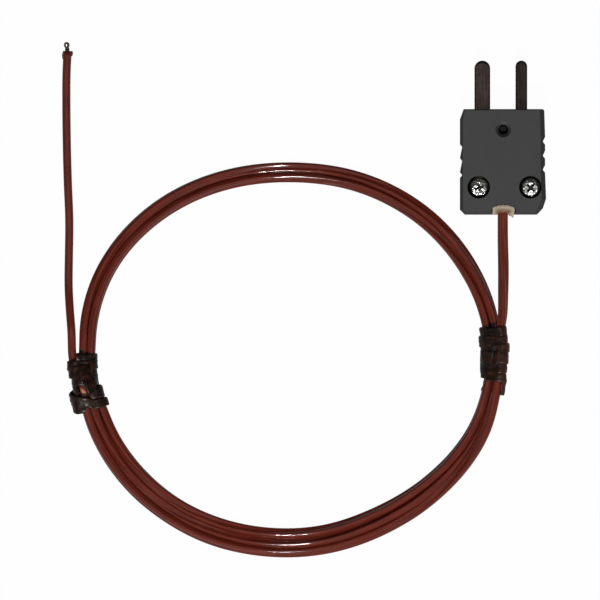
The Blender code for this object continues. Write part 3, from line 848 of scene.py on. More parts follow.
def plain_copy(source: bpy.types.Object, name: str) -> bpy.types.Object:
    """Turn an object and its modifiers into a plain mesh, and drop the object.

    Args:
        source: Object with live modifiers.
        name: Name of the piece.

    Returns:
        The piece, at the origin.
    """
    graph = bpy.context.evaluated_depsgraph_get()
    mesh = bpy.data.meshes.new_from_object(source.evaluated_get(graph), depsgraph=graph)
    mesh.name = name
    bpy.data.objects.remove(source, do_unlink=True)
    close_up(mesh)
    return put(name, mesh)


# The lead


class Knot(NamedTuple):
    """Where the strand is at one angle of the coil."""

    angle: float   # degrees, unwrapped; the lead winds clockwise, so it falls
    offset: float  # mm outwards from the coil's middle line
    lift: float    # mm above lying on the surface


@dataclass(frozen=True)
class StrandSection:
    """Softened two-core section of the lead."""

    half_wide: float = 1.05 * MM
    half_thin: float = 0.825 * MM
    fullness: float = 2.7
    valley: float = 0.30
    valley_width: float = 0.44 * MM
    corners: int = 36

    def ring(self) -> np.ndarray:
        """Points of the section, its long axis along X.

        Returns:
            One row a corner, in metres.
        """
        turn = np.linspace(0.0, 2 * math.pi, self.corners, endpoint=False) + math.pi / self.corners
        power = 2.0 / self.fullness
        across = self.half_wide * np.sign(np.cos(turn)) * np.abs(np.cos(turn)) ** power
        up = self.half_thin * np.sign(np.sin(turn)) * np.abs(np.sin(turn)) ** power
        up *= 1 - self.valley * np.exp(-(across / self.valley_width) ** 2)
        up *= self.half_thin / up.max()
        return np.column_stack([across, up])

    def half_height(self, twist: np.ndarray) -> np.ndarray:
        """Measure half the section's height when it is turned.

        Args:
            twist: Turns in radians.

        Returns:
            Half the height at each turn, in metres.
        """
        return (np.column_stack([np.sin(twist), np.cos(twist)]) @ self.ring().T).max(axis=1)


@dataclass
class Lead:
    """The whole lead: out of the plug, two and a half turns of coil and the tail."""

    mouth: tuple[float, float, float] = (0.00006, -0.01562, 0.004)
    centre: tuple[float, float] = (-0.04346, -0.04439)
    radius: float = 0.03964
    oval: float = 0.00187
    lobe: float = 0.00019
    lobe_turn: float = 8.0
    diameter: float = 0.0019
    rest_gap: float = 0.00005
    ring_spacing: float = 0.0009
    section: StrandSection = field(default_factory=StrandSection)
    # mm from the cable mouth, height of the middle and twist in degrees, out of the plug to the coil
    lead_in: tuple = ((-0.06, 2.4, 4.0, 0.0), (-0.08, 0.0, 4.0, 2.0), (-0.08, -5.0, 3.8, 10.0),
                      (0.06, -11.0, 3.4, 34.0), (0.0, -16.5, 3.2, 58.0), (-0.1, -20.8, 3.4, 72.0))
    # mm from the cable mouth and height of the middle, from the left tie to the free end
    tail_out: tuple = (
        (-87.60, -24.0, 3.00), (-88.00, -19.0, 1.90), (-88.25, -14.3, 1.20), (-88.20, -9.2, 1.05),
        (-88.10, -1.3, 1.05), (-88.40, 6.4, 1.05), (-88.60, 14.1, 1.05), (-88.70, 22.0, 1.05),
        (-88.68, 28.3, 1.05), (-88.46, 33.15, 1.05))
    # degrees of the coil where the strand passes a tie, and its further turn between each two of them
    tie_middles: tuple = (-1.15, -172.15, -361.15, -532.15, -721.15, -892.15)
    lane_turns: tuple = (40.0, 0.0, -42.0, -45.0, -40.0)
    tail_twist: float = 991.0
    # twist for each degree of the coil before the first tie and after the last, and its sway between ties
    first_rate: float = 1.2
    last_rate: float = 5.0
    sway: float = 12.0
    knots: tuple[Knot, ...] = (
        Knot(8.0, 1.75, 2.50), Knot(-1.0, 1.35, 2.70), Knot(-10.3, 1.15, 2.45), Knot(-21.0, 1.62, 1.95),
        Knot(-31.0, 1.67, 1.05), Knot(-41.0, 1.63, 0.20), Knot(-50.0, 1.63, 0.0), Knot(-60.0, 1.65, 0.0),
        Knot(-80.0, 1.95, 0.0), Knot(-100.0, 1.95, 0.0), Knot(-114.0, 1.95, 0.0), Knot(-129.0, 1.77, 0.0),
        Knot(-139.0, 1.77, 0.0), Knot(-152.0, 1.70, 0.1), Knot(-159.0, 1.63, 0.35),
        Knot(-165.0, 1.48, 0.70), Knot(-172.0, 1.15, 0.85), Knot(-181.0, 0.35, 0.75),
        Knot(-189.0, 0.63, 0.35), Knot(-199.0, 0.95, 0.05), Knot(-210.0, 1.04, 0.0),
        Knot(-230.0, 0.94, 0.0), Knot(-250.0, 0.74, 0.0), Knot(-270.0, 0.70, 0.0),
        Knot(-291.0, 1.05, 0.0), Knot(-311.0, 1.01, 0.0), Knot(-331.0, 0.72, 0.05),
        Knot(-341.0, 0.70, 0.35), Knot(-352.0, 0.78, 0.75), Knot(-361.0, 0.83, 0.85),
        Knot(-370.3, 0.80, 0.75), Knot(-381.0, 0.72, 0.40), Knot(-391.0, 0.35, 0.10),
        Knot(-401.0, -0.05, 0.0), Knot(-420.0, -0.25, 0.0), Knot(-440.0, 0.155, 0.0),
        Knot(-460.0, 0.155, 0.0), Knot(-475.0, 0.05, 0.0), Knot(-489.0, 0.0, 0.0), Knot(-499.0, 0.0, 0.0),
        Knot(-512.0, 0.0, 0.10), Knot(-519.0, 0.0, 0.35), Knot(-525.0, 0.03, 0.70),
        Knot(-532.0, -0.50, 0.85), Knot(-541.0, -1.19, 0.75), Knot(-549.0, -1.00, 0.35),
        Knot(-559.0, -0.76, 0.05), Knot(-570.0, -0.69, 0.0), Knot(-590.0, -0.99, 0.0),
        Knot(-610.0, -1.20, 0.0), Knot(-630.0, -1.24, 0.0), Knot(-651.0, -0.90, 0.0),
        Knot(-671.0, -0.97, 0.0), Knot(-691.0, -1.06, 0.05), Knot(-701.0, -0.95, 0.35),
        Knot(-712.0, -0.87, 0.75), Knot(-721.0, -0.83, 0.85), Knot(-730.3, -0.82, 0.75),
        Knot(-741.0, -0.90, 0.40), Knot(-751.0, -1.30, 0.10), Knot(-761.0, -1.75, 0.0),
        Knot(-780.0, -2.15, 0.0), Knot(-800.0, -1.815, 0.0), Knot(-820.0, -1.815, 0.0),
        Knot(-835.0, -1.80, 0.0), Knot(-849.0, -1.77, 0.0), Knot(-859.0, -1.77, 0.0),
        Knot(-872.0, -1.70, 0.10), Knot(-880.0, -1.75, 0.12), Knot(-884.0, -1.80, 0.16),
        Knot(-886.5, -1.60, 0.30), Knot(-889.0, -0.85, 1.64), Knot(-890.2, -0.33, 1.95),
        Knot(-891.5, 0.22, 2.23), Knot(-893.0, 0.86, 2.42), Knot(-895.0, 1.60, 2.25),
        Knot(-897.5, 2.35, 1.75), Knot(-901.0, 2.70, 1.20))

    def coil_radius(self, angle: float) -> float:
        """Measure the coil's middle line.

        Args:
            angle: Degrees about the coil's centre.

        Returns:
            Its radius there, in metres.
        """
        return (self.radius + self.oval * math.cos(math.radians(2 * angle))
                + self.lobe * math.cos(math.radians(3 * (angle - self.lobe_turn))))

    def coil_point(self, angle: float, offset: float) -> tuple[float, float]:
        """Place beside the coil's middle line.

        Args:
            angle: Degrees about the coil's centre.
            offset: Metres outwards from the middle line.

        Returns:
            X and Y in metres.
        """
        reach = self.coil_radius(angle) + offset
        turn = math.radians(angle)
        return self.centre[0] + reach * math.cos(turn), self.centre[1] + reach * math.sin(turn)

    def twist(self, angle: float) -> float:
        """Twist of the strand in degrees: on edge in each tie, flat half way between two.

        Args:
            angle: Unwrapped angle of the coil in degrees.

        Returns:
            The twist.
        """
        middles = self.tie_middles
        if angle >= middles[0]:
            return 90.0 - self.first_rate * (angle - middles[0])
        for number, (start, end) in enumerate(zip(middles, middles[1:])):
            if angle >= end:
                share = (start - angle) / (start - end)
                return (90.0 + 180.0 * (number + share) + self.sway * math.sin(2 * math.pi * share)
                        + self.lane_turns[number] * math.sin(math.pi * share))
        on_edge = 90.0 + 180.0 * len(self.lane_turns)
        return min(on_edge + self.last_rate * (middles[-1] - angle), self.tail_twist)

    def coil_rows(self) -> np.ndarray:
        """Sample the knots finely and place them round the coil.

        Returns:
            Rows of X, Y, lift and twist, in metres and radians.
        """
        fine = catmull(np.array(self.knots), 6)
        rows = []
        for angle, offset, lift in fine:
            x, y = self.coil_point(angle, offset * MM)
            rows.append((x, y, max(lift, 0.0) * MM, math.radians(self.twist(angle))))
        return np.array(rows)

    def centreline(self) -> np.ndarray:
        """The strand's middle from inside the plug to its free end.

        Returns:
            Rows of X, Y, Z and twist, evenly spaced.
        """
        coil = self.coil_rows()
        coil[:, 2] += self.rest_gap + self.section.half_height(coil[:, 3])
        start = [(self.mouth[0] + x * MM, self.mouth[1] + y * MM, z * MM, math.radians(twist))
                 for x, y, z, twist in self.lead_in]
        turned = math.radians(self.tail_twist)
        end = [(self.mouth[0] + x * MM, self.mouth[1] + y * MM, z * MM + self.rest_gap, turned)
               for x, y, z in self.tail_out]
        begin = catmull(np.vstack([start, coil[:1]]), 12)[:-1]
        finish = catmull(np.vstack([coil[-1:], end]), 12)[1:]
        return evenly(np.vstack([begin, coil, finish]), self.ring_spacing)

    def smoothed(self) -> np.ndarray:
        """The centreline with its joins between stretches eased.

        Returns:
            Rows of X, Y, Z and twist.
        """
        rows = self.centreline()
        for _ in range(3):
            inner = (rows[:-2] + 2 * rows[1:-1] + rows[2:]) / 4
            rows = np.vstack([rows[:1], inner, rows[-1:]])
        return rows

    def sections(self, rows: np.ndarray) -> np.ndarray:
        """Corners of the section at every row.

        Args:
            rows: Rows of X, Y, Z and twist.

        Returns:
            Array of rows by corners by three.
        """
        tangent = np.gradient(rows[:, :3], axis=0)
        tangent /= np.linalg.norm(tangent, axis=1)[:, None]
        side = np.cross(tangent, (0.0, 0.0, 1.0))
        side /= np.linalg.norm(side, axis=1)[:, None]
        up = np.cross(side, tangent)
        ring = self.section.ring()
        cosine, sine = np.cos(rows[:, 3])[:, None], np.sin(rows[:, 3])[:, None]
        across = ring[None, :, 0] * cosine - ring[None, :, 1] * sine
        rise = ring[None, :, 0] * sine + ring[None, :, 1] * cosine
        return rows[:, None, :3] + side[:, None] * across[..., None] + up[:, None] * rise[..., None]

    def build(self, finishes: Finishes) -> bpy.types.Object:
        """Skin the strand and map its surface.

        Args:
            finishes: Materials of the object.

        Returns:
            The lead.
        """
        rows = self.smoothed()
        rings = self.sections(rows)
        count, corners = rings.shape[:2]
        verts = rings.reshape(-1, 3).tolist()
        faces = [face for i in range(count - 1) for face in band(i * corners, (i + 1) * corners, corners)]
        verts += [rows[0, :3].tolist(), rows[-1, :3].tolist()]
        first, last = count * corners, count * corners + 1
        faces += [(first, (j + 1) % corners, j) for j in range(corners)]
        base = (count - 1) * corners
        faces += [(last, base + j, base + (j + 1) % corners) for j in range(corners)]
        piece = add_mesh("lead", verts, faces, finishes.of(Slot.JACKET))
        self.map_surface(piece, count, corners)
        return piece

    def map_surface(self, piece: bpy.types.Object, count: int, corners: int) -> None:
        """Write the UV map "strand": the share of a turn round it, and metres along it.

        Args:
            piece: The lead.
            count: Number of rings; not used.
            corners: Corners of a ring.
        """
        layer = piece.data.uv_layers.new(name="strand")
        for polygon in piece.data.polygons:
            spots = [piece.data.loops[k].vertex_index for k in polygon.loop_indices]
            columns = [s % corners for s in spots]
            wraps = max(columns) - min(columns) > corners // 2
            for loop, spot, column in zip(polygon.loop_indices, spots, columns):
                around = (column + corners if wraps and column == 0 else column) / corners
                layer.data[loop].uv = (around, (spot // corners) * self.ring_spacing)


# Wire ties


class Wrap(NamedTuple):
    """One piece of ribbon laid round the bundle, or along it where start and end are close."""

    angle: float         # degrees of the coil half way along the ribbon
    lean: float          # degrees of the coil that it gains from start to end
    half_width: float    # mm
    start: float         # degrees round the bundle: 0 outwards, 90 on top
    end: float
    lift: float = 0.0    # mm off the strands
    outer: float = 0.0   # mm that it bulges away from the coil's middle
    inner: float = 0.0   # mm that it bulges towards the coil's middle


class RibbonTree:
    """Geometry Nodes tree that sweeps a soft flat profile along every path."""

    SIZES = ("Width", "Thickness", "Corner", "Crumple", "Crumple Scale", "Seed")
    CORNER_STEPS = 3
    PROFILE_POINTS = 28

    def __init__(self) -> None:
        """Build the tree and keep its socket identifiers."""
        self.tree = bpy.data.node_groups.new("wound_ribbon", "GeometryNodeTree")
        self.sockets: dict[str, str] = {}
        face = self.tree.interface
        face.new_socket("Paths", in_out="INPUT", socket_type="NodeSocketGeometry")
        for label in (*self.SIZES, "Material"):
            kind = "NodeSocketFloat" if label in self.SIZES else "NodeSocketMaterial"
            self.sockets[label] = face.new_socket(label, in_out="INPUT", socket_type=kind).identifier
        face.new_socket("Ribbon", in_out="OUTPUT", socket_type="NodeSocketGeometry")
        self._join()

    def _join(self) -> None:
        """Place and join the nodes."""
        graph = Graph(self.tree)
        source = graph.add("NodeGroupInput").outputs
        lines = graph.out("GeometryNodeMeshToCurve", {0: source["Paths"]})
        outward = graph.out("GeometryNodeInputNamedAttribute", {0: "outward"}, data_type="FLOAT_VECTOR")
        width = graph.out("GeometryNodeInputNamedAttribute", {0: "spread"}, data_type="FLOAT")
        turned = graph.out("GeometryNodeSetCurveNormal", {"Curve": lines, "Normal": outward}, mode="FREE")
        flat = graph.out("GeometryNodeCurvePrimitiveQuadrilateral",
                         {0: source["Thickness"], 1: source["Width"]}, mode="RECTANGLE")
        soft = graph.out("GeometryNodeFilletCurve",
                         {0: flat, 1: self.CORNER_STEPS, 2: source["Corner"], 3: True}, mode="POLY")
        sliced = graph.out("GeometryNodeResampleCurve", {"Curve": soft, "Count": self.PROFILE_POINTS})
        swept = graph.out("GeometryNodeCurveToMesh",
                          {"Curve": turned, "Profile Curve": sliced, "Scale": width, "Fill Caps": True})
        place = graph.out("GeometryNodeInputPosition")
        waves = {"Vector": place, "Scale": source["Crumple Scale"], "Detail": 2.0, "W": source["Seed"]}
        folds = graph.add("ShaderNodeTexNoise", waves, noise_dimensions="4D").outputs["Color"]
        centred = graph.out("ShaderNodeVectorMath", {0: folds, 1: (0.5, 0.5, 0.5)}, operation="SUBTRACT")
        pushed = graph.out("ShaderNodeVectorMath", {0: centred, "Scale": source["Crumple"]},
                           operation="SCALE")
        crumpled = graph.out("GeometryNodeSetPosition", {"Geometry": swept, "Offset": pushed})
        smooth = graph.out("GeometryNodeSetShadeSmooth", {0: crumpled, 2: True})
        real = graph.out("GeometryNodeRealizeInstances", {0: smooth})
        done = graph.out("GeometryNodeSetMaterial", {"Geometry": real, "Material": source["Material"]})
        graph.add("NodeGroupOutput", {0: done})


@dataclass
class WireTie:
    """Plastic covered wire tie: short ribbons wound round the bundle of strands."""

    name: str
    wraps: tuple[Wrap, ...]
    first: float
    last: float
    seed: float
    width: float = 2.4 * MM
    thickness: float = 0.62 * MM
    corner: float = 0.28 * MM
    crumple: float = 0.55 * MM
    crumple_scale: float = 620.0
    reach: float = 4.2 * MM
    directions: int = 72
    station_step: float = 0.5
    slice_half: float = 0.9
    end_margin: float = 2.0
    least_cosine: float = 0.05
    far: float = 1.0
    turn_step: float = 6.0
    run_step: float = 0.35
    floor_gap: float = 0.22 * MM
    end_share: float = 0.06
    end_width: float = 0.80
    ripple: float = 0.10
    ripple_turns: float = 9.0
    ripple_shift: float = 2.3

    def hull_table(self, lead: Lead) -> tuple[np.ndarray, np.ndarray, np.ndarray]:
        """Measure the bundle of strands at even steps along the tie.

        Args:
            lead: The lead, whose sections make the bundle.

        Returns:
            Coil angles, the bundle's middle at each, and its reach in every direction.
        """
        rows = lead.smoothed()
        skin = lead.sections(rows).reshape(-1, 3)
        flat = skin[:, :2] - np.array(lead.centre)
        angle = np.degrees(np.arctan2(flat[:, 1], flat[:, 0]))
        angle = np.where(angle < self.first - 90.0, angle + 360.0, angle)
        middle = np.array([lead.coil_radius(a) for a in angle])
        offset = np.hypot(flat[:, 0], flat[:, 1]) - middle
        stations = np.arange(self.first - self.end_margin, self.last + self.end_margin + self.station_step,
                             self.station_step)
        middles, reaches = [], []
        turns = np.linspace(0.0, 2 * math.pi, self.directions, endpoint=False)
        ways = np.column_stack([np.cos(turns), np.sin(turns)])
        for station in stations:
            near = (np.abs(angle - station) < self.slice_half) & (np.abs(offset) < self.reach)
            points = np.column_stack([offset[near], skin[near, 2]])
            centre = (points.min(0) + points.max(0)) / 2
            support = ((points - centre) @ ways.T).max(0)
            # the hull's reach in each direction is the nearest of the supporting lines that it meets
            cosines = ways @ ways.T
            meets = cosines > self.least_cosine
            reach = np.where(meets, support[None, :] / np.where(meets, cosines, 1.0), self.far).min(1)
            middles.append(centre)
            reaches.append(reach)
        middles, reaches = np.array(middles), np.array(reaches)
        for _ in range(3):
            middles[1:-1] = (middles[:-2] + 2 * middles[1:-1] + middles[2:]) / 4
            reaches[1:-1] = (reaches[:-2] + 2 * reaches[1:-1] + reaches[2:]) / 4
        return stations, middles, reaches

    def lay(self, lead: Lead, table: tuple, wrap: Wrap) -> tuple[np.ndarray, np.ndarray]:
        """Run one wrap round the bundle.

        Args:
            lead: The lead.
            table: Result of hull_table.
            wrap: The wrap.

        Returns:
            Points of its path and the bundle's middle at each.
        """
        stations, middles, reaches = table
        count = max(int(abs(wrap.end - wrap.start) / self.turn_step), int(abs(wrap.lean) / self.run_step)) + 2
        points, cores = [], []
        for share in np.linspace(0.0, 1.0, count):
            turn = wrap.start + (wrap.end - wrap.start) * share
            along = wrap.angle + wrap.lean * (share - 0.5)
            centre = [np.interp(along, stations, middles[:, k]) for k in (0, 1)]
            spoke = (turn % 360.0) / 360.0 * self.directions
            low, part = int(spoke) % self.directions, spoke % 1.0
            ring = reaches[:, low] * (1 - part) + reaches[:, (low + 1) % self.directions] * part
            sideways, upwards = math.cos(math.radians(turn)), math.sin(math.radians(turn))
            bulge = wrap.outer * max(sideways, 0.0) ** 2 + wrap.inner * min(sideways, 0.0) ** 2
            away = float(np.interp(along, stations, ring)) + self.thickness / 2 + (wrap.lift + bulge) * MM
            height = max(centre[1] + away * upwards, self.thickness / 2 + self.floor_gap)
            points.append((*lead.coil_point(along, centre[0] + away * sideways), height))
            cores.append((*lead.coil_point(along, centre[0]), centre[1]))
        path = np.array(points)
        for _ in range(2):
            path[1:-1] = (path[:-2] + 2 * path[1:-1] + path[2:]) / 4
        return path, np.array(cores)

    def paths(self, lead: Lead) -> bpy.types.Object:
        """Make the paths of all wraps as edges with their directions and widths.

        Args:
            lead: The lead.

        Returns:
            Object that the ribbon tree reads.
        """
        table = self.hull_table(lead)
        verts, edges, outward, spread = [], [], [], []
        for wrap in self.wraps:
            path, cores = self.lay(lead, table, wrap)
            tangent = np.gradient(path, axis=0)
            tangent /= np.linalg.norm(tangent, axis=1)[:, None]
            normal = path - cores
            normal -= tangent * (normal * tangent).sum(1)[:, None]
            normal /= np.linalg.norm(normal, axis=1)[:, None]
            base = len(verts)
            verts += path.tolist()
            edges += [(base + i, base + i + 1) for i in range(len(path) - 1)]
            outward += normal.tolist()
            share = np.linspace(0.0, 1.0, len(path))
            inside = np.clip(np.minimum(share, 1 - share) / self.end_share, 0.0, 1.0)
            narrowed = self.end_width + (1.0 - self.end_width) * inside
            waves = np.sin(self.ripple_turns * share + self.ripple_shift * wrap.angle + self.seed)
            ripple = 1 + self.ripple * waves
            spread += (wrap.half_width * MM / (self.width / 2) * ripple * narrowed).tolist()
        mesh = bpy.data.meshes.new(self.name + "_paths")
        mesh.from_pydata(verts, edges, [])
        directions = mesh.attributes.new("outward", "FLOAT_VECTOR", "POINT")
        directions.data.foreach_set("vector", np.array(outward, np.float32).ravel())
        widths = mesh.attributes.new("spread", "FLOAT", "POINT")
        widths.data.foreach_set("value", np.array(spread, np.float32))
        return put(self.name + "_paths", mesh)

    def build(self, lead: Lead, ribbon: RibbonTree, finishes: Finishes) -> bpy.types.Object:
        """Sweep the wraps and keep the result as a plain mesh.

        Args:
            lead: The lead.
            ribbon: The Geometry Nodes tree.
            finishes: Materials of the object.

        Returns:
            The tie.
        """
        paths = self.paths(lead)
        modifier = paths.modifiers.new("ribbon", "NODES")
        modifier.node_group = ribbon.tree
        sizes = (self.width, self.thickness, self.corner, self.crumple, self.crumple_scale, self.seed)
        for label, value in zip(ribbon.SIZES, sizes):
            modifier[ribbon.sockets[label]] = value
        modifier[ribbon.sockets["Material"]] = finishes.of(Slot.TIE)
        return plain_copy(paths, self.name)


# The plug


@dataclass
class PlugShells:
    """Front and rear shells with their edges softened."""

    weld_reach: float = 0.002 * MM
    flat_angle: float = 1.0
    sharp_angle: float = 40.0
    softening: float = 0.09 * MM
    softened_angle: float = 28.0
    top_share: float = 0.93
    flat_area: float = 1.2e-6

    def soften(self, node: str, finishes: Finishes) -> bpy.types.Object:
        """Copy a shell, merge its triangles and round its edges.

        Args:
            node: CAD node of the shell.
            finishes: Materials of the object.

        Returns:
            The new shell.
        """
        mesh = bpy.data.objects[node].data.copy()
        if "custom_normal" in mesh.attributes:
            mesh.attributes.remove(mesh.attributes["custom_normal"])
        work = bmesh.new()
        work.from_mesh(mesh)
        bmesh.ops.remove_doubles(work, verts=work.verts, dist=self.weld_reach)
        bmesh.ops.dissolve_limit(work, angle_limit=math.radians(self.flat_angle), verts=work.verts,
                                 edges=work.edges)
        work.to_mesh(mesh)
        work.free()
        mesh.materials.clear()
        mesh.materials.append(finishes.of(Slot.MOULDING))
        shell = put(node + "_soft", mesh)
        bevel = shell.modifiers.new("soften", "BEVEL")
        bevel.width, bevel.segments = self.softening, 2
        bevel.limit_method, bevel.angle_limit = "ANGLE", math.radians(self.softened_angle)
        piece = plain_copy(shell, node.replace("plug_", "") + "_shell")
        self.shade(piece)
        return piece

    def shade(self, piece: bpy.types.Object) -> None:
        """Shade small faces smooth and large ones flat, and mark all but the front face as rim, for painted
        shade.

        Args:
            piece: The shell.
        """
        mesh = piece.data
        mesh.set_sharp_from_angle(angle=math.radians(self.sharp_angle))
        mesh.polygons.foreach_set("use_smooth", [face.area < self.flat_area for face in mesh.polygons])
        # painted shade: faces that turn away from the front get the moulding's darker rim colour
        rim = mesh.attributes.new("rim", "FLOAT", "FACE")
        rim.data.foreach_set("value", [float(face.normal.z < self.top_share) for face in mesh.polygons])

    def build(self, finishes: Finishes) -> list[bpy.types.Object]:
        """Make both shells.

        Args:
            finishes: Materials of the object.

        Returns:
            The shells, settled.
        """
        return [settle(self.soften(node, finishes), Slot.MOULDING, node)
                for node in ("plug_base", "plug_cover")]


class ScrewTree:
    """Geometry Nodes tree that sets one screw at every point, turned by the point's own angle."""

    def __init__(self) -> None:
        """Build the tree and keep its socket identifiers."""
        self.tree = bpy.data.node_groups.new("set_screws", "GeometryNodeTree")
        face = self.tree.interface
        face.new_socket("Places", in_out="INPUT", socket_type="NodeSocketGeometry")
        self.sockets: dict[str, str] = {}
        for label in ("Object", "Material"):
            kind = "NodeSocket" + label
            self.sockets[label] = face.new_socket(label, in_out="INPUT", socket_type=kind).identifier
        face.new_socket("Screws", in_out="OUTPUT", socket_type="NodeSocketGeometry")
        graph = Graph(self.tree)
        source = graph.add("NodeGroupInput").outputs
        spots = graph.out("GeometryNodeMeshToPoints", {"Mesh": source["Places"]})
        screw = graph.add("GeometryNodeObjectInfo", {"Object": source["Object"]}).outputs["Geometry"]
        turn = graph.out("GeometryNodeInputNamedAttribute", {0: "turn"}, data_type="FLOAT")
        spin = graph.out("ShaderNodeCombineXYZ", {"Z": turn})
        rotation = graph.out("FunctionNodeEulerToRotation", {0: spin})
        placed = graph.out("GeometryNodeInstanceOnPoints",
                           {"Points": spots, "Instance": screw, "Rotation": rotation})
        real = graph.out("GeometryNodeRealizeInstances", {0: placed})
        done = graph.out("GeometryNodeSetMaterial", {"Geometry": real, "Material": source["Material"]})
        graph.add("NodeGroupOutput", {0: done})


@dataclass
class ClampScrews:
    """Two pan head screws with a cross recess, seen in the wells of the front shell."""

    # mm across and along the plug, and the turn of the recess in degrees
    places: tuple = ((-4.86, -10.22, 18.0), (5.56, -10.26, 48.0))
    head_radius: float = 2.05 * MM
    shank_radius: float = 1.1 * MM
    low: float = 2.05 * MM
    seat: float = 5.6 * MM
    top: float = 7.2 * MM
    rim_bevel: float = 0.08 * MM
    # shares of the head's radius and of its height, from its rim to near its middle
    crown: tuple = ((1.0, 0.50), (0.97, 0.64), (0.88, 0.78), (0.72, 0.895), (0.45, 0.97))
    arm_length: float = 2.5 * MM
    arm_width: float = 0.60 * MM
    recess_depth: float = 0.75 * MM
    recess_spread: tuple[float, float] = (1.05, 0.45)
    cutter_rise: float = 0.3 * MM
    # painted shade in the cross recess: from this height above the seat to this depth below the top, within
    # this share of the head's radius
    recess_shade_start: float = 0.1 * MM
    recess_shade_depth: float = 0.60 * MM
    recess_shade_share: float = 0.8
    sharp_angle: float = 35.0
    corners: int = 48

    def profile(self) -> list[tuple[float, float]]:
        """Draw the outline of half a screw, from its lower end to the middle of its head.

        Returns:
            Radius and height of each point, in metres.
        """
        radius, rise = self.head_radius, self.top - self.seat
        crown = [(across * radius, self.seat + up * rise) for across, up in self.crown]
        return [(0.0, self.low), (self.shank_radius, self.low), (self.shank_radius, self.seat),
                (radius - self.rim_bevel, self.seat), (radius, self.seat + self.rim_bevel),
                *crown, (0.0, self.top)]

    def turned(self) -> tuple[list, list]:
        """Turn the profile into a closed screw.

        Returns:
            Its points and faces.
        """
        verts, faces, rings = [], [], []
        for radius, height in self.profile():
            rings.append(len(verts))
            if radius == 0.0:
                verts.append((0.0, 0.0, height))
            else:
                verts += [(radius * math.cos(a), radius * math.sin(a), height)
                          for a in np.linspace(0.0, 2 * math.pi, self.corners, endpoint=False)]
        n = self.corners
        faces += [(rings[0], rings[1] + (k + 1) % n, rings[1] + k) for k in range(n)]
        for low, high in zip(rings[1:-2], rings[2:-1]):
            faces += band(low, high, n)
        faces += [(rings[-1], rings[-2] + k, rings[-2] + (k + 1) % n) for k in range(n)]
        return verts, faces

    def cutter(self, material: bpy.types.Material) -> bpy.types.Object:
        """Make the tapered cross that cuts the recess.

        Args:
            material: Any material.

        Returns:
            The cutter.
        """
        half, wide, floor = self.arm_length / 2, self.arm_width / 2, self.top - self.recess_depth
        arm = [(half, -wide), (half, wide), (wide, wide)]
        outline = []
        for _ in range(4):
            outline += arm
            arm = [(-y, x) for x, y in arm]
        above, below = self.recess_spread
        upper = [(x * above, y * above, self.top + self.cutter_rise) for x, y in outline]
        lower = [(x * below, y * below, floor) for x, y in outline]
        n = len(outline)
        faces = [tuple(range(n)), tuple(range(2 * n - 1, n - 1, -1))]
        faces += wall(0, n, n)
        return add_mesh("cross_cutter", upper + lower, faces, material, rounded=False)

    def build(self, finishes: Finishes) -> bpy.types.Object:
        """Cut one screw and set it in both wells.

        Args:
            finishes: Materials of the object.

        Returns:
            Both screws as one piece.
        """
        nickel = finishes.of(Slot.NICKEL)
        verts, faces = self.turned()
        screw = add_mesh("screw_pattern", verts, faces, nickel)
        cross = self.cutter(nickel)
        cut = screw.modifiers.new("cross", "BOOLEAN")
        cut.operation, cut.solver, cut.object = "DIFFERENCE", "EXACT", cross
        pattern = plain_copy(screw, "screw_master")
        bpy.data.objects.remove(cross, do_unlink=True)
        pattern.data.set_sharp_from_angle(angle=math.radians(self.sharp_angle))
        # painted shade: mark the points deep in the cross recess
        recess_shade = pattern.data.attributes.new("recess", "FLOAT", "POINT")
        low, high = self.seat + self.recess_shade_start, self.top - self.recess_shade_depth
        reach = self.recess_shade_share * self.head_radius
        recess_shade.data.foreach_set("value", [float(low < vert.co.z < high and vert.co.xy.length < reach)
                                         for vert in pattern.data.vertices])
        mesh = bpy.data.meshes.new("screw_places")
        mesh.from_pydata([(x * MM, y * MM, 0.0) for x, y, _ in self.places], [], [])
        mesh.attributes.new("turn", "FLOAT", "POINT").data.foreach_set(
            "value", [math.radians(turn) for _, _, turn in self.places])
        places = put("screw_places", mesh)
        tree = ScrewTree()
        modifier = places.modifiers.new("screws", "NODES")
        modifier.node_group = tree.tree
        modifier[tree.sockets["Object"]] = pattern
        modifier[tree.sockets["Material"]] = nickel
        piece = plain_copy(places, "clamp_screws")
        bpy.data.objects.remove(pattern, do_unlink=True)
        return settle(piece, Slot.NICKEL, "clamp_screw_wide", "clamp_screw_narrow")


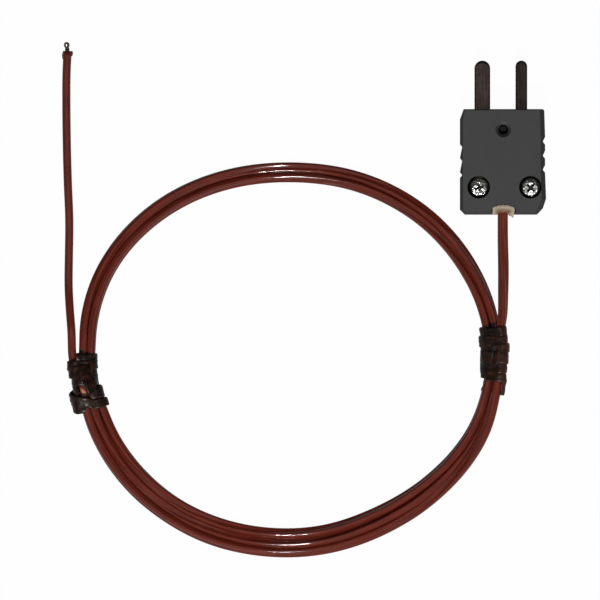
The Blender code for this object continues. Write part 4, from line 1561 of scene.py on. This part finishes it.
@dataclass
class Grommet:
    """Soft cream grommet that slopes down around the lead, with a torn tag."""

    middle_x: float = 0.06 * MM
    middle_y: float = -14.90 * MM
    half_width: float = 2.42 * MM
    arch: float = 1.27 * MM
    skirt: float = 0.70 * MM
    low: float = 1.65 * MM
    crest: float = 6.45 * MM
    front: float = 4.35 * MM
    closing: float = 0.12
    slope_start: float = 0.75 * MM
    slope_length: float = 1.35 * MM
    ripple: float = 0.06 * MM
    rim_drop: float = 0.16 * MM
    rim_start: float = 0.75
    side_lift: float = 0.45
    rings: int = 9
    corners: int = 44
    sharp_angle: float = 50.0
    # the tag's two faces, how far they fall for each mm along it, and its root and outline in mm
    tag_levels: tuple[float, float] = (5.35 * MM, 5.05 * MM)
    tag_fall: float = 0.25 * MM
    tag_root: float = -15.1
    tag: tuple = ((0.95, -15.50), (1.35, -15.95), (1.60, -15.88), (1.85, -16.30), (2.15, -16.15),
                  (2.12, -15.80), (2.32, -15.55), (2.10, -15.20), (1.30, -15.10))

    def outline(self) -> list[tuple[float, float]]:
        """Run round the mouth: an arch at the front and sides that close towards the back.

        Returns:
            X and Y of each point, in metres.
        """
        # shares of the half width across, and metres along
        turns = [math.pi * share for share in np.linspace(0.0, 1.0, self.corners)]
        arch = [(math.cos(turn), self.arch * math.sin(turn)) for turn in turns]
        side = [(1 - self.closing * share, -self.skirt * share) for share in (0.35, 0.7, 1.0)]
        back = [((self.closing - 1) * tenths / 10, -self.skirt) for tenths in range(8, -9, -2)]
        around = arch + [(-across, down) for across, down in side] + back + side[::-1]
        return [(self.middle_x + self.half_width * across, self.middle_y + along) for across, along in around]

    def height(self, x: float, y: float, edge: float) -> float:
        """Height of the sloping top.

        Args:
            x: Place in metres.
            y: Place in metres.
            edge: 1 at the outline, 0 in the middle.

        Returns:
            Height in metres.
        """
        back = min(max((self.middle_y + self.slope_start - y) / self.slope_length, 0.0), 1.0)
        fall = back * back * (3 - 2 * back)
        beside = abs(x - self.middle_x) / self.half_width
        ripple = self.ripple * math.sin(9.0 * x / MM + 1.3) * math.cos(7.0 * y / MM)
        rim = self.rim_drop * max(0.0, edge - self.rim_start) / (1 - self.rim_start)
        return self.crest - (self.crest - self.front) * fall * (1 - self.side_lift * beside) + ripple - rim

    def build(self, finishes: Finishes) -> bpy.types.Object:
        """Fill the outline with a sloping top, walls and a bottom, and add the tag.

        Args:
            finishes: Materials of the object.

        Returns:
            The grommet.
        """
        edge = self.outline()
        n = len(edge)
        centre = (self.middle_x, self.middle_y + 0.1 * MM)
        verts, faces = [], []
        for ring in range(self.rings):
            share = 1.0 - ring / self.rings
            for x, y in edge:
                px, py = centre[0] + (x - centre[0]) * share, centre[1] + (y - centre[1]) * share
                verts.append((px, py, self.height(px, py, share)))
        verts.append((*centre, self.height(*centre, 0.0)))
        for ring in range(self.rings - 1):
            faces += band(ring * n, (ring + 1) * n, n)
        last = (self.rings - 1) * n
        faces += [(last + k, last + (k + 1) % n, self.rings * n) for k in range(n)]
        base = len(verts)
        verts += [(x, y, self.low) for x, y in edge]
        faces += wall(0, base, n)
        faces.append(tuple(base + k for k in range(n)))
        start, m = len(verts), len(self.tag)
        verts += [(x * MM, y * MM, level - self.tag_fall * (self.tag_root - y))
                  for level in self.tag_levels for x, y in self.tag]
        faces += [tuple(range(start, start + m)), tuple(range(start + 2 * m - 1, start + m - 1, -1))]
        faces += wall(start, start + m, m)
        piece = add_mesh("grommet", verts, faces, finishes.of(Slot.SILICONE))
        piece.data.set_sharp_from_angle(angle=math.radians(self.sharp_angle))
        return settle(piece, Slot.SILICONE, "cable_grommet")


BARE_ALLOY = {"colour": (0.21, 0.185, 0.16), "dark": (0.035, 0.028, 0.022),
              "smoothest": 0.16, "metallic": 0.9}
TORN_JACKET = {"along_strand": False, "colour": (0.030, 0.008, 0.005), "roughness": 0.30}


class Lip(NamedTuple):
    """One torn lip of the jacket."""

    side: float    # -1 for the left lip, 1 for the right one
    length: float  # mm that it reaches back along the lead
    flare: float   # mm that its edge stands off
    start: float   # degrees about the lead's axis
    end: float


@dataclass
class HotJunction:
    """Welded bead on two bare wires, between the lips of the split jacket; places in millimetres."""

    bead: tuple[float, float, float] = (-88.57, 18.88, 1.00)
    bead_radius: float = 0.62
    wire_radii: tuple[float, float] = (0.20, 0.28)
    jacket_end: tuple[float, float, float] = (-88.38, 17.66, 1.02)
    lips: tuple[Lip, ...] = (Lip(-1.0, 2.2, 0.22, -55.0, 75.0), Lip(1.0, 1.1, 0.16, -50.0, 70.0))
    lip_reach: float = 0.74
    lip_wall: float = 0.20
    lip_narrowest: float = 0.35
    flare_reach: float = 1.15
    starts: tuple = ((-88.66, 17.0, 1.15), (-88.26, 17.0, 0.98))
    bends: tuple = ((-88.72, 17.90, 1.10), (-88.28, 17.90, 0.98))
    lumps: float = 0.05
    neck: float = 0.06
    facet_way: tuple[float, float, float] = (0.0, -0.267, 0.964)
    facet_turn: float = 23.0
    facet_shift: tuple[float, float, float] = (-0.10, 0.14, 0.0)

    def tube(self, points: Sequence, radius: float, corners: int = 10) -> tuple[list, list]:
        """Skin a short round wire.

        Args:
            points: Its middle line in millimetres.
            radius: Its radius in millimetres.
            corners: Corners of its section.

        Returns:
            Points in metres and faces.
        """
        line = catmull(np.array(points, float), 6)
        tangent = np.gradient(line, axis=0)
        tangent /= np.linalg.norm(tangent, axis=1)[:, None]
        side = np.cross(tangent, (0.0, 0.0, 1.0))
        side /= np.linalg.norm(side, axis=1)[:, None]
        up = np.cross(side, tangent)
        verts = [tuple((middle + radius * (across * math.cos(a) + rise * math.sin(a))) * MM)
                 for middle, across, rise in zip(line, side, up)
                 for a in np.linspace(0.0, 2 * math.pi, corners, endpoint=False)]
        rows = len(line)
        faces = [face for i in range(rows - 1) for face in band(i * corners, (i + 1) * corners, corners)]
        faces += [tuple(range(corners)), tuple((rows - 1) * corners + j for j in range(corners))]
        return verts, faces

    def weld(self) -> tuple[list, list]:
        """Shape the bead: a drop with slight lumps and one flat facet.

        Returns:
            Points in metres and faces.
        """
        work = bmesh.new()
        bmesh.ops.create_icosphere(work, subdivisions=3, radius=1.0)
        for vert in work.verts:
            way = vert.co.normalized()
            lump = 1 + self.lumps * math.sin(3.1 * way.x + 1.0) * math.cos(2.7 * way.y)
            lump += self.neck * max(0.0, -way.y) ** 2
            facing = way.dot(Vector(self.facet_way))
            flat = math.cos(math.radians(self.facet_turn))
            if facing > flat:
                lump = flat / facing
            shift = Vector(self.facet_shift) * min(max(facing / flat, 0.0), 1.0) ** 2
            vert.co = Vector(self.bead) + way * self.bead_radius * lump + shift
        work.verts.ensure_lookup_table()
        verts = [tuple(vert.co * MM) for vert in work.verts]
        faces = [tuple(vert.index for vert in face.verts) for face in work.faces]
        work.free()
        return verts, faces

    def skin(self, lip: Lip, across: int = 8, along: int = 9) -> tuple[list, list]:
        """Shape one torn lip of the jacket as a thin curved shell.

        Args:
            lip: The lip.
            across: Points round the lead.
            along: Points along it.

        Returns:
            Points in metres and faces.
        """
        verts = []
        for layer in (0.0, self.lip_wall):
            for share in np.linspace(0.0, 1.0, along):
                bulge = lip.flare * math.sin(math.pi * min(share * self.flare_reach, 1.0))
                reach = self.lip_reach + layer + bulge
                fullness = math.sqrt(max(0.0, 1 - (2 * share - 1) ** 4))
                taper = self.lip_narrowest + (1 - self.lip_narrowest) * fullness
                for part in np.linspace(-0.5, 0.5, across):
                    turn = math.radians((lip.start + lip.end) / 2 + (lip.end - lip.start) * part * taper)
                    sideways, upwards = lip.side * reach * math.cos(turn), reach * math.sin(turn)
                    place = np.array([sideways, -lip.length * share, upwards])
                    verts.append(tuple((self.jacket_end + place) * MM))
        size = across * along
        faces = []
        for i in range(along - 1):
            for j in range(across - 1):
                a = i * across + j
                faces.append((a, a + 1, a + across + 1, a + across))
                faces.append((size + a, size + a + across, size + a + across + 1, size + a + 1))
        ring = ([j for j in range(across)] + [i * across + across - 1 for i in range(1, along)]
                + [(along - 1) * across + j for j in range(across - 2, -1, -1)]
                + [i * across for i in range(along - 2, 0, -1)])
        faces += [(a, b, size + b, size + a) for a, b in zip(ring, ring[1:] + ring[:1])]
        return verts, faces

    def build(self, finishes: Finishes) -> list[bpy.types.Object]:
        """Join the wires and bead, and the two lips.

        Args:
            finishes: Materials of the object.

        Returns:
            The welded tip and the lips.
        """
        alloy = finishes.of(Slot.ALLOY, **BARE_ALLOY)
        parts = [self.weld()]
        for start, bend, radius in zip(self.starts, self.bends, self.wire_radii):
            parts.append(self.tube((start, bend, self.bead), radius))
        tip = settle(self.joined("welded_tip", parts, alloy), Slot.ALLOY, "hot_junction")
        torn = finishes.of(Slot.JACKET, **TORN_JACKET)
        lips = settle(self.joined("jacket_lips", [self.skin(lip) for lip in self.lips], torn), Slot.JACKET)
        return [tip, lips]

    @staticmethod
    def joined(name: str, parts: list, material: bpy.types.Material) -> bpy.types.Object:
        """Make one object of several skins.

        Args:
            name: Name of the piece.
            parts: Points and faces of each skin.
            material: Its material.

        Returns:
            The piece.
        """
        verts, faces = [], []
        for points, cells in parts:
            base = len(verts)
            verts += points
            faces += [tuple(base + k for k in cell) for cell in cells]
        return add_mesh(name, verts, faces, material)


# The studio


@dataclass
class Studio:
    """Camera straight above, pale floor and soft light from the cable side."""

    aim: tuple[float, float] = (-0.04117, -0.03295)
    height: float = 2.0
    subject_height: float = 0.003
    frame_width: float = 0.1218
    sensor: float = 36.0
    clip_end: float = 20.0
    floor_half: float = 4.0
    floor_z: float = -0.0001
    paper: float = 0.50
    # white that the floor adds for rays that see it straight, mirrored and through a clear thing
    seen: float = 0.98
    mirrored: float = 0.12
    through: float = 0.90
    # world strength at the cable side and the blade side, and above
    side_ways: tuple[float, float] = (-0.60, 0.60)
    side_light: tuple[float, float] = (0.46, 0.02)
    top_ways: tuple[float, float] = (0.955, 0.988)
    top_light: float = 0.60
    key_azimuth: float = -90.0
    key_tilt: float = 31.0
    key_distance: float = 1.0
    key_size: float = 0.045
    key_power: float = 8.6

    def camera(self) -> None:
        """Place the camera over the middle of the photograph, its top towards +Y."""
        data = bpy.data.cameras.new("camera")
        data.sensor_width = self.sensor
        data.lens = self.sensor * self.height / self.frame_width
        data.clip_end = self.clip_end
        camera = put("camera", data)
        camera.location = (*self.aim, self.subject_height + self.height)
        bpy.context.scene.camera = camera

    def lamp(self) -> None:
        """Place the square key lamp, which faces the object."""
        data = bpy.data.lights.new("key", "AREA")
        data.shape, data.size, data.energy = "SQUARE", self.key_size, self.key_power
        around, down = math.radians(self.key_azimuth), math.radians(self.key_tilt)
        away = Vector((math.cos(around) * math.sin(down), math.sin(around) * math.sin(down), math.cos(down)))
        lamp = put("key", data)
        lamp.location = Vector((*self.aim, 0.0)) + away * self.key_distance
        lamp.rotation_mode = "QUATERNION"
        lamp.rotation_quaternion = (-away).to_track_quat("-Z", "Y")
        lamp.visible_camera = False

    def world(self) -> None:
        """Light the scene from the cable side and from above, and little from the blade side."""
        world = bpy.data.worlds.new("studio")
        world.use_nodes = True
        world.node_tree.nodes.clear()
        graph = Graph(world.node_tree)
        way = graph.add("ShaderNodeSeparateXYZ", {0: graph.add("ShaderNodeTexCoord").outputs["Generated"]})
        strength = graph.math("ADD", graph.remap(way.outputs["Y"], self.side_ways, self.side_light),
                              graph.remap(way.outputs["Z"], self.top_ways, (0.0, self.top_light)))
        shell = graph.add("ShaderNodeBackground", {"Color": WHITE, "Strength": strength})
        output = graph.add("ShaderNodeOutputWorld", {"Surface": shell.outputs[0]})
        output.is_active_output = True
        bpy.context.scene.world = world

    def floor(self) -> None:
        """Lay the pale floor, white to the camera, that keeps a soft shadow."""
        half, low = self.floor_half, self.floor_z
        material = bpy.data.materials.new("floor")
        material.use_nodes = True
        material.node_tree.nodes.clear()
        graph = Graph(material.node_tree)
        path = graph.add("ShaderNodeLightPath")
        seen = graph.math("MULTIPLY", path.outputs["Is Camera Ray"], self.seen)
        mirrored = graph.math("MULTIPLY", path.outputs["Is Glossy Ray"], self.mirrored)
        through = graph.math("MULTIPLY", path.outputs["Is Transmission Ray"], self.through)
        share = graph.math("ADD", graph.math("ADD", seen, mirrored), through, clamp=True)
        paper = graph.add("ShaderNodeBsdfDiffuse", {"Color": (self.paper, self.paper, self.paper, 1.0)})
        white = graph.add("ShaderNodeEmission", {"Color": WHITE, "Strength": 1.0})
        top = graph.add("ShaderNodeMixShader", {0: share, 1: paper.outputs[0], 2: white.outputs[0]})
        under = graph.add("ShaderNodeBsdfTransparent")
        back = graph.add("ShaderNodeNewGeometry").outputs["Backfacing"]
        both = graph.add("ShaderNodeMixShader", {0: back, 1: top.outputs[0], 2: under.outputs[0]})
        graph.add("ShaderNodeOutputMaterial", {"Surface": both.outputs[0]})
        mesh = bpy.data.meshes.new("floor")
        mesh.from_pydata([(-half, -half, low), (half, -half, low), (half, half, low), (-half, half, low)], [],
                         [(0, 1, 2, 3)])
        mesh.materials.append(material)
        put("floor", mesh)

    def build(self) -> None:
        """Set the camera, world, lamp and floor."""
        bpy.context.scene.view_settings.view_transform = "Standard"
        self.camera()
        self.world()
        self.lamp()
        self.floor()


# Making

RIGHT_TIE = WireTie("right_wire_tie", (
    Wrap(6.7, 0.6, 1.10, -90.0, 270.0, 0.00, -0.35, 0.25),
    Wrap(4.3, 0.6, 1.15, -90.0, 270.0, 0.05, -0.20, 0.60),
    Wrap(2.1, -0.4, 1.05, -90.0, 270.0, 0.00, 0.35, 0.45),
    Wrap(-0.3, 0.9, 1.30, -90.0, 270.0, 0.06, 0.15, 0.50),
    Wrap(-3.2, -0.4, 1.25, -90.0, 270.0, 0.00, 0.05, 0.45),
    Wrap(-5.5, 1.6, 0.95, -90.0, 270.0, 0.04, 0.15, 0.30),
    Wrap(0.2, -7.0, 0.60, 96.0, 108.0, 0.28),
    Wrap(0.8, -6.0, 0.50, 62.0, 76.0, 0.25),
    Wrap(-7.6, -5.4, 0.66, 44.0, 34.0, 0.10),
    Wrap(-7.8, -5.0, 0.60, 14.0, 6.0, 0.20),
    Wrap(-7.0, -2.0, 0.62, 158.0, 168.0, 0.05),
    Wrap(-8.9, -2.4, 0.30, 172.0, 180.0, 0.00)), -10.3, 8.0, 3.0)
LEFT_TIE = WireTie("left_wire_tie", (
    Wrap(180.7, 0.3, 1.05, 54.0, 290.0, 0.00, 0.00, -0.10),
    Wrap(182.4, -0.4, 0.95, -90.0, 270.0, 0.06, -0.10, 0.10),
    Wrap(184.4, 0.8, 1.20, -90.0, 270.0, 0.00, 0.10, 0.05),
    Wrap(186.6, 0.6, 1.20, -90.0, 270.0, 0.05, 0.38, 0.25),
    Wrap(187.3, 1.6, 0.70, -90.0, 270.0, 0.00, 0.42, 0.50),
    Wrap(190.0, -2.2, 1.20, 97.0, 396.0, 0.04, 0.50, 0.55),
    Wrap(191.3, 6.0, 0.95, -90.0, 110.0, 0.00, 1.50, 0.00),
    Wrap(193.8, 0.0, 0.95, 84.0, 270.0, 0.02, 0.00, 0.35),
    Wrap(193.3, 1.2, 1.25, -100.0, 52.0, 0.08, 1.15, 0.00),
    Wrap(184.8, 5.2, 1.00, 66.0, 60.0, 0.28),
    Wrap(186.4, 8.0, 1.20, 118.0, 114.0, 0.28)), 179.0, 196.7, 7.0)


PLAIN_JACKET = {"along_strand": False}
# near black and matt: painted shade on the clamp plates, which lie in shade deep in the wells; the cover
# screw in its hole gets the same near black
NEAR_BLACK = {"colour": (0.004, 0.004, 0.004), "roughness": 0.75, "metallic": 0.0, "refraction": 1.30}
BLADE_TIP = 15.62 * MM
WIDE_BLADE = {"middle": -4.18 * MM, "half_width": 1.59 * MM, "tip": BLADE_TIP}
NARROW_BLADE = {"middle": 3.74 * MM, "half_width": 1.18 * MM, "tip": BLADE_TIP,
                "colour": (0.052, 0.036, 0.032), "dark": (0.0185, 0.0125, 0.011)}
CARRIED_CHANGES = {
    "core_wide": PLAIN_JACKET, "core_narrow": PLAIN_JACKET,
    "cover_screw": NEAR_BLACK, "clamp_plate_wide": NEAR_BLACK, "clamp_plate_narrow": NEAR_BLACK,
    "blade_wide": WIDE_BLADE, "blade_narrow": NARROW_BLADE}


def dress_nodes(finishes: Finishes) -> None:
    """Give every CAD node its finish, also those that a piece of the scene replaces.

    Args:
        finishes: Materials of the object.
    """
    for part in frame["record"]["subparts"]:
        slot = Slot(part["material_slot"])
        finishes.dress_node(part["node"], slot, **CARRIED_CHANGES.get(part["node"], {}))


def report(*pieces: bpy.types.Object) -> None:
    """Say which pieces are finished.

    Args:
        pieces: The pieces.
    """
    for piece in pieces:
        LOG.info("%s, %d faces", piece.name, len(piece.data.polygons))


def main() -> None:
    """Build the studio and every piece in order."""
    logging.basicConfig(level=logging.INFO, format="%(name)s: %(message)s")
    Studio().build()
    finishes = Finishes()
    dress_nodes(finishes)
    report(*PlugShells().build(finishes))
    report(ClampScrews().build(finishes))
    report(Grommet().build(finishes))
    junction = HotJunction().build(finishes)
    report(*junction)
    lead = Lead()
    strand = settle(lead.build(finishes), Slot.JACKET, "cord_lead", "cord_coil", "cord_tail")
    ribbon = RibbonTree()
    ties = [settle(tie.build(lead, ribbon, finishes), Slot.TIE, node)
            for tie, node in ((RIGHT_TIE, "tie_right"), (LEFT_TIE, "tie_left"))]
    report(strand, *ties)
    route = lead.smoothed()[:, :3]


if __name__ == "__main__":
    main()
